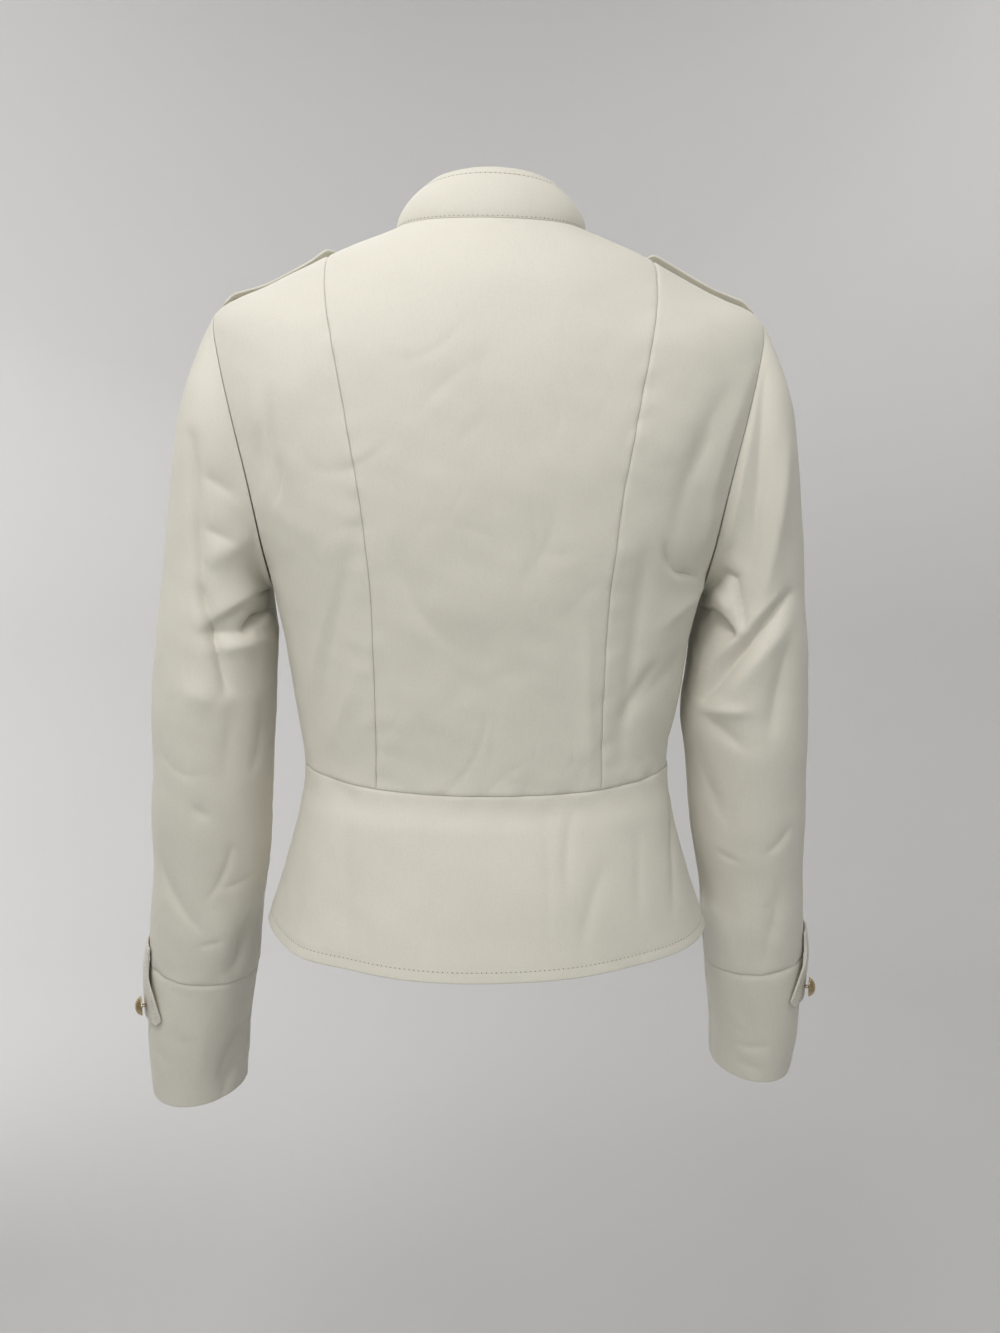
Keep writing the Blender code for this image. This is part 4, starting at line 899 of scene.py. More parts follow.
def stitch_pattern():
    """One stitch along Z, raised along Y, and at its end a dark lens of painted shade for the needle's hole.
    """
    look = bpy.context.scene.jacket_look
    mesh = bmesh.new()
    bmesh.ops.create_uvsphere(mesh, u_segments=6, v_segments=4, radius=0.5,
                              matrix=Matrix.Diagonal((STITCH_WIDTH, STITCH_HEIGHT, look.stitch_length, 1)))
    end = Matrix.Translation((0, 0, -look.stitch_pitch / 2)) @ Matrix.Diagonal((1, 0.2, 1, 1))
    hole = bmesh.ops.create_uvsphere(mesh, u_segments=8, v_segments=3, radius=HOLE_RADIUS, matrix=end)
    # The hole's faces take the second finish, its painted shade.
    for face in {face for vert in hole["verts"] for face in vert.link_faces}:
        face.material_index = 1
    pattern = bpy.data.meshes.new("stitch")
    mesh.to_mesh(pattern)
    mesh.free()
    return pattern


def stitches(name, rows):
    """Raised stitches along rows of points and outward directions, with dark lenses of painted shade for the
    needle's holes between them.
    """
    look = bpy.context.scene.jacket_look
    mesh, pattern = bmesh.new(), stitch_pattern()
    for points, out in rows:
        run = distances(points)
        count = int(run[-1] / look.stitch_pitch)
        for place in (np.arange(count) + 0.5) * run[-1] / max(count, 1):
            middle, before, after = (Vector(read_line(run, points, place + share * look.stitch_length))
                                     for share in (0, -0.5, 0.5))
            up = Vector(read_line(run, out, place)).normalized()
            way = (after - before).normalized()
            turned = Matrix((up.cross(way), up, way)).transposed().to_4x4()
            stitch = pattern.copy()
            stitch.transform(Matrix.Translation(middle) @ turned)
            mesh.from_mesh(stitch)
            bpy.data.meshes.remove(stitch)
    bpy.data.meshes.remove(pattern)
    piece = dress(finish(name, mesh, 80), finishes()["thread"], CLOTH_SLOT)
    # Second finish: the painted shade of the needle's holes.
    piece.data.materials.append(finishes()["hole"])
    return piece


def row_near(middle, out, edge, distance, over):
    """A line of the grid at a distance from one of its edges, on the outer face."""
    away = runs(middle)[edge]
    along_rows = edge in ("top", "bottom")
    points, lifts = [], []
    for k in range(middle.shape[1] if along_rows else middle.shape[0]):
        column = (slice(None), k) if along_rows else (k, slice(None))
        far = away[column]
        order = np.argsort(far)
        points.append(read_line(far[order], (middle[column] + out[column] * over)[order], distance))
        lifts.append(read_line(far[order], out[column][order], distance))
    return np.array(points), np.array(lifts)


# ---------------------------------------------------------------- cloth pieces

ALL_EDGES = "top bottom start end"
GRID_STEP, SLEEVE_STEP = 0.0025, 0.0020
SEAM_ROOM = 0.00004         # from each sewn edge to the seam's middle
CALM = 0.007                # how near an armhole or a neck the cloth's unevenness starts
BODY_MIDDLE = np.array((0.0, -0.01, -0.3))      # a point inside the body
CUFF_MIDDLE_X, CUFF_MIDDLE_Y = 0.235, -0.03     # and where a cuff's hollow is
TOP_STITCH, HEM_LINE = 0.0062, 0.0072           # stitched lines, from the front edge and from the hem's
# Turned-in edges: which edge, how wide, and what they add to the thickness
HEM_FOLD = [("bottom", 0.0076, 0.0008)]
FRONT_FACING = [("start", 0.024, 0.0004)]
CUFF_FACING = [("top", 0.2, 0.0004)]        # wider than the cuff is deep, so all of it
STRAP_STEP, COLLAR_STEP = 0.0016, 0.0017
STRAP_LINE = 0.0045         # from a strap's edge to its stitched line
STRAP_CORNER = 0.0008       # how far two such lines may pass each other
THIN_EDGE = 0.0003          # rounding of a wall's thinnest edges
COLLAR_BASE = -0.024        # share of its height that the collar reaches down over the neck's raw edge
COLLAR_GRADE = 0.0050       # how far up from the neck the collar's plies reach their full thickness
COLLAR_FREE = 0.2, 0.8      # share of the unevenness that the stiff collar keeps, at the neck and above
COLLAR_LINES = (("bottom", 0.0053), ("top", 0.0014), ("start", 0.0055), ("end", 0.0055))


def tuck(points, edges):
    """Draw a grid's sewn edges back from their neighbours."""
    moved = points.copy()
    lines = {"top": (0, 3), "bottom": (-1, -4), "start": (0, 3), "end": (-1, -4)}
    for edge in edges.split():
        turned = moved if edge in ("top", "bottom") else moved.swapaxes(0, 1)
        here, beside = lines[edge]
        turned[here] += unit(turned[beside] - turned[here]) * SEAM_ROOM
    return moved


def mirror_halves(left, right):
    """Join a piece's two halves at the centre line: from the right edge to the left."""
    return np.concatenate([right[:, :0:-1], left], axis=1)


def eased(distance):
    """0 at an edge, 1 away from it."""
    share = np.clip(distance / CALM, 0, 1)
    return share ** 2 * (3 - 2 * share)


def beside_armhole(grid, level):
    """0 along the armhole, 1 away from it and below the underarm."""
    return eased(runs(grid)["end"] + np.clip(level - UNDERARM + 0.15, 0, 1) * 0.05)


def body_panel(name, node, points, seams, creases, free=1.0, hem=(), lines=()):
    """Fold and make one panel of the body: the piece, its middle grid and its normals."""
    outward = points - BODY_MIDDLE
    outward[..., 2] = np.maximum(outward[..., 2], 0) * 2
    middle, out = cloth_form(tuck(points, seams), outward, seams, creases, free, lines)
    piece = closed_wall(name, middle, out, OVER, UNDER, hem)
    return dress(piece, finishes()["cloth"], CLOTH_SLOT, node), middle, out


def build_back_panels():
    """The centre back and the two side backs."""
    level, turn = centre_places(0.0, BACK_PRINCESS, False, shares(0.160, GRID_STEP, (False, True)),
                                shares(0.40, GRID_STEP))
    grid = mirror_halves(body_point(level, turn, 1), body_point(level, turn, -1))
    piece, *_ = body_panel("Centre back", "back_centre", grid, ALL_EDGES, (BODY_BEHIND, NO_CREASES),
                           eased(runs(grid)["top"]))
    level, turn = side_places(BACK_PRINCESS, BACK_ARMHOLE, False, shares(0.088, GRID_STEP),
                              shares(0.38, GRID_STEP))
    for side, label in SIDES:
        grid = body_point(level, turn, side)
        piece, *_ = body_panel("Side back " + label, "back_side_" + label, grid, ALL_EDGES,
                               (BODY_BEHIND, NO_CREASES), beside_armhole(grid, level))


def build_front_panels():
    """The side fronts and the centre fronts: the stitched lines beside the zip."""
    down = shares(0.36, GRID_STEP)
    beside = side_places(FRONT_PRINCESS, FRONT_ARMHOLE, True, shares(0.10, GRID_STEP), down)
    centre = centre_places(ZIP_EDGE, FRONT_PRINCESS, True, shares(0.15, GRID_STEP), down)
    rows = []
    for side, label in SIDES:
        grid = body_point(*beside, side)
        piece, *_ = body_panel("Side front " + label, "front_side_" + label, grid, ALL_EDGES,
                               (NO_CREASES, BODY_IN_FRONT), beside_armhole(grid, beside[0]))
        grid = body_point(*centre, side)
        piece, middle, out = body_panel("Centre front " + label, "front_centre_" + label, grid,
                                        "top bottom end", (NO_CREASES, BODY_IN_FRONT),
                                        eased(runs(grid)["top"]), FRONT_FACING, [("start", TOP_STITCH)])
        rows.append(row_near(middle, out, "start", TOP_STITCH, OVER))
    return rows


def build_peplum_panels():
    """The flared band below the waist, hemmed, a back and two fronts: its stitched lines."""
    down = shares(0.120, GRID_STEP)
    level = WAIST + (HEM - WAIST) * down
    line_at = [("bottom", HEM_LINE)]
    grid = np.meshgrid(level, SIDE * shares(0.24, GRID_STEP, (False, True)), indexing="ij")
    points = mirror_halves(body_point(*grid, 1), body_point(*grid, -1))
    piece, middle, out = body_panel("Peplum back", "peplum_back", points, "top start end",
                                    (PEPLUM_BEHIND, NO_CREASES), hem=HEM_FOLD, lines=line_at)
    rows = [row_near(middle, out, "bottom", HEM_LINE, OVER)]
    edge = np.stack([level, seam_turn(level, ZIP_EDGE, front=True)], -1)
    side_edge = np.stack([level, np.full_like(level, SIDE)], -1)
    across = shares(0.22, GRID_STEP)
    places = patch(line(edge[0], side_edge[0], across), line(edge[-1], side_edge[-1], across),
                   edge, side_edge, across, down)
    for side, label in SIDES:
        piece, middle, out = body_panel("Peplum front " + label, "peplum_front_" + label,
                                        body_point(places[..., 0], places[..., 1], side), "top end",
                                        (NO_CREASES, PEPLUM_IN_FRONT), hem=HEM_FOLD + FRONT_FACING,
                                        lines=line_at + [("start", TOP_STITCH)])
        rows.append(row_near(middle, out, "bottom", HEM_LINE, OVER))
        rows.append(row_near(middle, out, "start", TOP_STITCH, OVER))
    return rows


def build_collar():
    """The stand collar, two plies round a stiff core: its stitched lines."""
    height, share = np.meshgrid(COLLAR_BASE + (1 - COLLAR_BASE) * shares(0.034, COLLAR_STEP),
                                shares(0.235, GRID_STEP, (False, True)), indexing="ij")
    turn = share * collar_front_turn(height, ZIP_EDGE)
    points = mirror_halves(collar_point(height, turn, 1), collar_point(height, turn, -1))
    outward = points * np.array((1, 1, 0))
    away = runs(points)
    free = COLLAR_FREE[0] + (COLLAR_FREE[1] - COLLAR_FREE[0]) * eased(away["top"])
    middle, out = cloth_form(points, outward, "", (NO_CREASES, NO_CREASES), free, COLLAR_LINES)
    thick = OVER + (PLY - OVER) * np.clip(away["top"] / COLLAR_GRADE, 0, 1)
    # Painted seam shade only along the collar's upper edge and front ends, not at its seam to the neck.
    free_edges = np.minimum.reduce([away[edge] for edge in ("bottom", "start", "end")])
    piece = closed_wall("Collar", middle, out, thick, thick, rounding=np.clip(away["top"], THIN_EDGE, PLY),
                        seam_shade_distance=free_edges)
    dress(piece, finishes()["cloth"], CLOTH_SLOT, "collar")
    return [row_near(middle, out, edge, distance, UNDER if edge == "top" else PLY)
            for edge, distance in COLLAR_LINES]


def build_sleeve(side, label):
    """A sleeve set into its armhole, with its seam at the underarm, and its cuff."""
    around = 360 * shares(0.31, SLEEVE_STEP) - 180
    cap = shares(0.150, SLEEVE_STEP, (True, False))
    lower = 1 + 3 * shares(0.325, SLEEVE_STEP, (False, True))[1:]
    for name, along, seams, creases, hem, lines, flat, area in (
            ("Sleeve", np.concatenate([cap, lower]), "bottom start end", SLEEVE_CREASES, (), (),
             (0.360, 0.540), 0.1430),
            ("Cuff", CUFF_SEAM + shares(0.11, GRID_STEP), "top start end", CUFF_CREASES,
             CUFF_FACING, [("top", 0.0016)], (0.290, 0.125), 0.0310)):
        grid_along, grid_around = np.meshgrid(along, around, indexing="ij")
        points = sleeve_point(grid_along, grid_around, side)
        angle = np.radians(grid_around)
        outward = np.stack([side * np.cos(angle), np.sin(angle), 0 * angle], -1)
        free = eased(runs(points)["top"]) if name == "Sleeve" else 1.0
        middle, out = cloth_form(tuck(points, seams), outward, seams, creases[side], free, lines)
        piece = closed_wall(name + " " + label, middle, out, OVER, UNDER, hem)
        dress(piece, finishes()["cloth"], CLOTH_SLOT, name.lower() + "_" + label)


def strap(name, node, points, sewn, facing):
    """A doubled strap on its grid of points: the stitched lines beside each edge but the sewn one."""
    out = normals(points, np.broadcast_to(facing, points.shape))
    away = runs(points)
    rims = {"top": points[0], "bottom": points[-1], "start": points[:, 0], "end": points[:, -1]}
    del rims[sewn]
    near = np.minimum.reduce([away[edge] for edge in rims])
    points = points - out * (LINE_DIP * np.exp(-((near - STRAP_LINE) / LINE_REACH) ** 2))[..., None]
    piece = closed_wall(name, points, out, PLY, PLY, rounding=PLY)
    rows = []
    for edge in rims:
        row, lift = row_near(points, out, edge, STRAP_LINE, PLY)
        gaps = [np.linalg.norm(row[:, None] - rims[other], axis=2).min(1) for other in rims if other != edge]
        keep = np.minimum.reduce(gaps) > STRAP_LINE - STRAP_CORNER
        rows.append((row[keep], lift[keep]))
    return dress(piece, finishes()["cloth"], CLOTH_SLOT, node), rows


def ridge_z(x):
    """Height of the shoulder seam at a distance from the centre line."""
    level = np.linspace(NECK, SHOULDER_TIP, 40)
    return np.interp(x, read(BODY, "half_width", level), read(BODY, "side_z", level))


def fine_rows(table):
    """A table's columns read smoothly at close steps along its first column."""
    knots = next(iter(table.values()))
    at = np.linspace(knots[0], knots[-1], int(abs(knots[-1] - knots[0]) / STRAP_STEP) + 1)
    return {name: smooth(knots, values, at) for name, values in table.items()}


def build_epaulette(side, label):
    """A shoulder strap, sewn in at the armhole, with its free end towards the neck, and its button."""
    rows = fine_rows(EPAULETTE)
    x = rows["x"]
    z = (ridge_z(x) + EPAULETTE_SLOPE * EPAULETTE_MIDDLE_Y / 2 + (CAD_CLOTH + CAD_DOUBLE) / 2 + SEAT_GAP
         + rows["lift_left" if side > 0 else "lift_right"])
    middle = np.stack([side * x, np.full_like(x, EPAULETTE_MIDDLE_Y), z], -1)
    half = EPAULETTE_HALF_WIDTH * np.minimum(rows["width"], 1.0)
    across = np.stack([0 * half, half, EPAULETTE_SLOPE * half], -1)[:, None]
    droop = np.stack([0 * half, 0 * half, -EPAULETTE_ARCH * half ** 2], -1)[:, None]
    share = (2 * shares(2 * EPAULETTE_HALF_WIDTH, STRAP_STEP) - 1)[:, None]
    piece, lines = strap("Epaulette " + label, "epaulette_" + label,
                         middle[:, None] + across * share + droop * share ** 2, "bottom", (0, 0, 1))
    build_button("epaulette_button_" + label, "Epaulette button " + label)
    return lines


def build_cuff_tab(side, label):
    """A strap laid round the outer side of the sleeve, sewn at its top, buttoned near its lower end."""
    rows = fine_rows(TAB)
    along = np.linspace(1, CUFF_EDGE, 200)
    along = np.interp(rows["drop"] - TAB_TOP[side], -read(SLEEVES[side], "z", along), along)
    clear = (CAD_CLOTH + CAD_DOUBLE) / 2 + SEAT_GAP + TAB_ROOM
    around = np.arange(-40.0, 121.0)       # a degree apart, well past both edges of the tab
    share = 2 * shares(2 * TAB_HALF_WIDTH, STRAP_STEP) - 1
    points = []
    shape = (rows[name] for name in ("width", "lift", "wrap", "around"))
    for place, width, lift, wrap, middle in zip(along, *shape):
        ring_line = sleeve_point(place, around, side)
        run = distances(ring_line)
        way = np.gradient(ring_line, run, axis=0)
        normal = unit(side * np.stack([way[:, 1], -way[:, 0], 0 * run], -1))
        reach = TAB_HALF_WIDTH * min(width, 1.0) * share
        centre = np.interp(middle, around, run)
        over = read_line(run, ring_line + normal * (clear + lift), centre + reach)
        flat = read_line(run, ring_line + normal * (clear + lift), centre)
        flat = flat + reach[:, None] * read_line(run, way, centre)
        points.append(flat + (over - flat) * wrap)
    piece, lines = strap("Cuff tab " + label, "cuff_tab_" + label, np.array(points), "top", (side, 0.6, 0))
    build_button("cuff_button_" + label, "Cuff button " + label)
    return lines


# ---------------------------------------------------------------- metal parts

def turn_round(mesh, verts, edges, steps):
    """Turn a line once about +Z: the surface's points."""
    before = set(mesh.verts) - set(verts)
    bmesh.ops.spin(mesh, geom=verts + edges, cent=(0, 0, 0), axis=(0, 0, 1), angle=2 * math.pi, steps=steps,
                   use_merge=True)
    bmesh.ops.remove_doubles(mesh, verts=[vert for vert in mesh.verts if vert not in before], dist=2 * WELD)
    return [vert for vert in mesh.verts if vert not in before]


def turned_piece(mesh, profile, steps=48):
    """Turn a profile of (radius, height) into a surface."""
    verts = [mesh.verts.new((radius, 0, height)) for radius, height in profile]
    edges = [mesh.edges.new(pair) for pair in zip(verts, verts[1:])]
    turn_round(mesh, verts, edges, steps)


def ring(mesh, major, minor, matrix, steps=40, sides=12):
    """A closed wire ring about its own Z."""
    cut = Matrix.Translation((major, 0, 0)) @ Matrix.Rotation(math.pi / 2, 4, "X")
    verts = bmesh.ops.create_circle(mesh, segments=sides, radius=minor, matrix=cut)["verts"]
    edges = list(dict.fromkeys(edge for vert in verts for edge in vert.link_edges))
    bmesh.ops.transform(mesh, matrix=matrix, verts=turn_round(mesh, verts, edges, steps))


def block(mesh, size, middle=(0, 0, 0)):
    """A box of that size: its points."""
    verts = bmesh.ops.create_cube(mesh, size=1)["verts"]
    bmesh.ops.scale(mesh, vec=size, verts=verts)
    bmesh.ops.translate(mesh, vec=middle, verts=verts)
    return verts


def round_edges(mesh, edges, width, segments=2):
    """Take the sharpness off some edges."""
    bmesh.ops.bevel(mesh, geom=edges, offset=width, segments=segments, profile=0.5, affect="EDGES",
                    clamp_overlap=True, material=-1)


def mirrored(half):
    """A closed outline from its right half."""
    return half + [(-x, z) for x, z in reversed(half)]


def thicken(mesh, faces, vector):
    """Give flat faces a thickness and close their sides."""
    made = bmesh.ops.extrude_face_region(mesh, geom=faces, use_keep_orig=True)["geom"]
    verts = [part for part in made if isinstance(part, bmesh.types.BMVert)]
    bmesh.ops.translate(mesh, vec=vector, verts=verts)


BUTTON_RADIUS, BUTTON_BACK, DOME_RADIUS, DOME_BASE = 0.0077, 0.0027, 0.0071, 0.0030
BUTTON_RIM = [(0.0073, 0.0038), (0.0076, 0.0036), (BUTTON_RADIUS, 0.0032), (0.0075, 0.0029), (0.0070, 0.0028),
              (0.0064, 0.0030), (0.0024, 0.0031), (0.0021, BUTTON_BACK), (0.0, BUTTON_BACK)]
DOME_TURNS = (0, 6, 14, 24, 35, 46, 57, 67, 76)      # degrees from the dome's top
LOOP_RADIUS, LOOP_WIRE, LOOP_HEIGHT = 0.0021, 0.00055, 0.0017


def point_within(node):
    """A point inside the garment beside a button."""
    low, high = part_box(node)
    middle = (low + high) / 2
    if node.startswith("cuff"):
        return np.array((math.copysign(CUFF_MIDDLE_X, middle.x), CUFF_MIDDLE_Y, middle.z))
    return np.array((middle.x, middle.y, BODY_MIDDLE[2]))


def build_button(node, name):
    """A domed button with a rim, on its wire loop, where its solid stands."""
    solid = frame["nodes"][node]
    places = np.array([vert.co for vert in solid.data.vertices])
    centre = places.mean(0)
    _, _, ways = np.linalg.svd(places - centre, full_matrices=False)
    spread = np.ptp((places - centre) @ ways.T, axis=0)
    facing = ways[int(np.argmin(spread))]
    outward = Vector(facing if facing @ (centre - point_within(node)) > 0 else -facing)
    reach = (places - centre) @ np.array(outward)
    seat = Vector(centre) + outward * float(reach.min())
    high = float(reach.max() - reach.min())
    mesh = bmesh.new()
    dome = [(DOME_RADIUS * math.sin(turn), DOME_BASE + (high - DOME_BASE) * math.cos(turn))
            for turn in map(math.radians, DOME_TURNS)]
    turned_piece(mesh, dome + BUTTON_RIM)
    upright = Matrix.Translation((0, 0, LOOP_HEIGHT)) @ Matrix.Rotation(math.pi / 2, 4, "X")
    ring(mesh, LOOP_RADIUS, LOOP_WIRE, upright)
    turn = outward.to_track_quat("Z", "Y").to_matrix().to_4x4()
    mesh.transform(Matrix.Translation(seat) @ turn)
    bmesh.ops.recalc_face_normals(mesh, faces=mesh.faces)
    dress(finish(name, mesh, 35), finishes()["brass"], BUTTON_SLOT, node)


PEPLUM_POINTS, BODY_POINTS = 30, 90                 # of the front edge, below and above the waist
COLLAR_POINTS = np.linspace(0.04, 0.90, 12)         # as shares of the collar's height


def front_line(x, side=1):
    """The front edge from the hem to the collar's top, x from the centre: points, inward ways, plies."""
    levels = WAIST + (HEM - WAIST) * np.linspace(1, 0, PEPLUM_POINTS)
    levels = np.append(levels, np.linspace(WAIST, NECK, BODY_POINTS)[1:])
    lower = body_point(levels, seam_turn(levels, x, front=True), side)
    upper = collar_point(COLLAR_POINTS, collar_front_turn(COLLAR_POINTS, x), side)
    plies = np.append(np.full(len(lower), CAD_CLOTH), np.full(len(upper), CAD_DOUBLE))
    points = np.concatenate([lower, upper])
    way = unit(np.gradient(points, axis=0))
    inward = unit(np.stack([0 * way[:, 0], way[:, 2], -way[:, 1]], -1))
    return points, inward, plies


def stand_along(way):
    """The turn about X that lays +Z along a way up the front edge."""
    return Matrix.Rotation(math.atan2(-way[1], way[2]), 4, "X")


def build_tapes():
    """The two zip tapes behind the front edges, up to the teeth at the middle."""
    for side, label in SIDES:
        strips = []
        for x in (TEETH_EDGE, 0.0020, 0.0032, 0.0045, 0.0065, 0.0085, 0.0105, TAPE_WIDTH):
            points, inward, plies = front_line(x, side)
            strips.append(points + inward * (plies / 2 + TAPE_ROOM + TAPE / 2)[:, None])
        grid = np.stack(strips, axis=1)
        out = normals(grid, np.broadcast_to((0, -1, 0.2), grid.shape))
        piece = closed_wall("Zip tape " + label, grid, out, TAPE / 2, TAPE / 2, rounding=THIN_EDGE)
        dress(piece, finishes()["tape"], TAPE_SLOT, "zip_tape_" + label)


TOOTH_PITCH, TOOTH_SIZE = 0.0024, (0.0034, 0.0022, 0.0013)
TOOTH_SHIFT, TOOTH_TIP = 0.0010, 0.72       # from the centre line, and its meshed end's height as a share
FIRST_TOOTH, LAST_TOOTH = 0.0094, 0.0035    # from the hem and from the upper end
TOOTH_REACH = 0.0020                        # how far ahead the line's direction is read
SMALL_EDGE = 0.00022


def build_teeth():
    """Two rows of metal teeth, meshed up to the slider, from the box to the collar."""
    mesh = bmesh.new()
    points, inward, plies = front_line(TEETH_EDGE)
    points = points + inward * (plies / 2 + TAPE_ROOM + TAPE / 2)[:, None]
    run = distances(points)
    for k in range(int((run[-1] - LAST_TOOTH - FIRST_TOOTH) / (TOOTH_PITCH / 2))):
        at = FIRST_TOOTH + k * TOOTH_PITCH / 2
        place, ahead = (Vector(read_line(run, points, there)) for there in (at, at + TOOTH_REACH))
        turned = stand_along(ahead - place)
        place.x = (1 if k % 2 else -1) * TOOTH_SHIFT
        tooth = block(mesh, TOOTH_SIZE)
        for vert in tooth:
            if vert.co.x * place.x < 0:
                vert.co.z *= TOOTH_TIP
        bmesh.ops.transform(mesh, matrix=Matrix.Translation(place) @ turned, verts=tooth)
    round_edges(mesh, mesh.edges[:], SMALL_EDGE, 1)
    dress(finish("Zip teeth", mesh, 30), finishes()["wire"], ZIP_SLOT)


SLIDER_HEIGHT = 0.62                # as a share of the collar's
SLIDER_PLATES = ((-0.0038, -0.0025), (-0.0011, 0.0))        # outer and inner face of each plate
SLIDER_HALF = [(0.0024, -0.0055), (0.0033, -0.0042), (0.0033, -0.0005), (0.0038, 0.0025), (0.0034, 0.0050),
               (0.0018, 0.0055)]
PLATE_EDGE, POST_SIZE, POST_MIDDLE = 0.00025, (0.0018, 0.0018, 0.0040), (0, -0.0018, 0.0022)
BRIDGE_RADIUS, BRIDGE_WIRE = 0.0030, 0.00055
BOX_SIZE, BOX_EDGE = (0.0074, 0.0030, 0.0078), 0.0006
PULL_THICK = 0.0012
PULL_HALF = [(0.0014, 0.0006), (0.0024, 0.0000), (0.0025, -0.0052), (0.0017, -0.0075), (0.0017, -0.0110),
             (0.0024, -0.0145), (0.0024, -0.0168), (0.0012, -0.0183)]
EYE_HALF = [(0.0012, -0.0006), (0.0012, -0.0046)]


def slider_matrix():
    """Where the slider sits: its +Z runs up the zip and its +Y points into the garment."""
    low, middle, high = (Vector(collar_point(SLIDER_HEIGHT + step, FRONT_CENTRE)) for step in (-0.3, 0, 0.3))
    middle.x = 0
    turned = stand_along(high - low)
    inward = turned @ Vector((0, 1, 0))
    return Matrix.Translation(middle + inward * (CAD_DOUBLE / 2 + TAPE_ROOM - SEAT_GAP)) @ turned


def build_slider():
    """The zip's slider: a face plate, a waist and a back plate, with the bridge that holds the pull."""
    mesh = bmesh.new()
    for near, far in SLIDER_PLATES:
        plate = mesh.faces.new([mesh.verts.new((x, near, z)) for x, z in mirrored(SLIDER_HALF)])
        thicken(mesh, [plate], (0, far - near, 0))
    round_edges(mesh, mesh.edges[:], PLATE_EDGE)
    block(mesh, POST_SIZE, POST_MIDDLE)
    bridge = Matrix.Translation((0, SLIDER_PLATES[0][0], 0)) @ Matrix.Rotation(math.pi / 2, 4, "Y")
    ring(mesh, BRIDGE_RADIUS, BRIDGE_WIRE, bridge, steps=48, sides=14)
    bmesh.ops.recalc_face_normals(mesh, faces=mesh.faces)
    mesh.transform(slider_matrix())
    dress(finish("Zip slider", mesh, 35), finishes()["brass"], ZIP_SLOT, "zip_slider")


def build_box():
    """The box at the zip's lower end."""
    low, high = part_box("zip_box")
    points, *_ = front_line(TEETH_EDGE)
    way = points[1] - points[0]
    mesh = bmesh.new()
    block(mesh, BOX_SIZE)
    round_edges(mesh, mesh.edges[:], BOX_EDGE, 4)
    mesh.transform(Matrix.Translation((low + high) / 2) @ stand_along(way))
    dress(finish("Zip box", mesh, 40), finishes()["brass"], ZIP_SLOT, "zip_box")


def build_pull():
    """The pull tab that hangs in the slider's bridge: a waisted plate with its eye and a rounded end."""
    pivot = Vector(frame["joints"][0]["pos_m"])
    mesh = bmesh.new()
    edges = []
    for half in (PULL_HALF, EYE_HALF):
        loop = [mesh.verts.new((x, -PULL_THICK / 2, z)) for x, z in mirrored(half)]
        edges += [mesh.edges.new(pair) for pair in zip(loop, loop[1:] + loop[:1])]
    bmesh.ops.triangle_fill(mesh, use_beauty=True, edges=edges)
    thicken(mesh, mesh.faces[:], (0, PULL_THICK, 0))
    bmesh.ops.recalc_face_normals(mesh, faces=mesh.faces)
    round_edges(mesh, [edge for edge in mesh.edges if edge.calc_face_angle(0) > 0.5], SMALL_EDGE)
    mesh.transform(Matrix.Translation(pivot) @ slider_matrix().to_3x3().to_4x4())
    dress(finish("Zip pull", mesh, 35), finishes()["brass"], ZIP_SLOT, "zip_pull", body=PULL_BODY)


# ---------------------------------------------------------------- stage

LIGHTS = (      # name, place, what it faces, width, watts, tint
    ("Key_light", (0.32, 0.80, 0.98), (0.0, 0.05, -0.2), 0.45, 8.0, (1.0, 0.98, 0.94)),
    ("Left_light", (0.80, 0.80, 0.90), (0.0, 0.05, -0.25), 0.6, 1.9, (1.0, 0.99, 0.96)),
    ("High_left_light", (1.1, 0.35, 1.0), (0.0, 0.0, -0.2), 0.6, 2.8, (1.0, 0.99, 0.96)),
    ("High_right_light", (-1.0, 0.9, 1.0), (0.0, 0.0, -0.3), 0.8, 5.6, (1.0, 0.99, 0.97)),
    ("Side_light", (0.75, 1.55, 0.25), (0.0, 0.0, -0.25), 0.8, 6.3, (1.0, 0.985, 0.95)),
    ("Fill_light", (0.0, 2.0, 0.2), (0.0, 0.0, -0.3), 1.0, 2.0, (0.98, 0.99, 1.0)),
    ("Front_light", (0.5, -1.8, 1.2), (0.0, 0.0, -0.25), 1.4, 12.0, (1.0, 0.99, 0.97)),
    ("Wall_light_high", (1.3, -0.7, 1.7), (0.9, -2.6, 0.0), 1.4, 14.0, (1.0, 0.985, 0.99)),
    ("Wall_light_left", (1.6, -0.6, -0.2), (1.6, -2.2, -0.2), 1.4, 14.0, (1.0, 0.985, 1.0)),
    ("Wall_light_right", (-1.3, -0.7, 1.5), (-0.9, -2.6, 0.3), 1.4, 14.0, (1.0, 0.985, 0.99)),
)


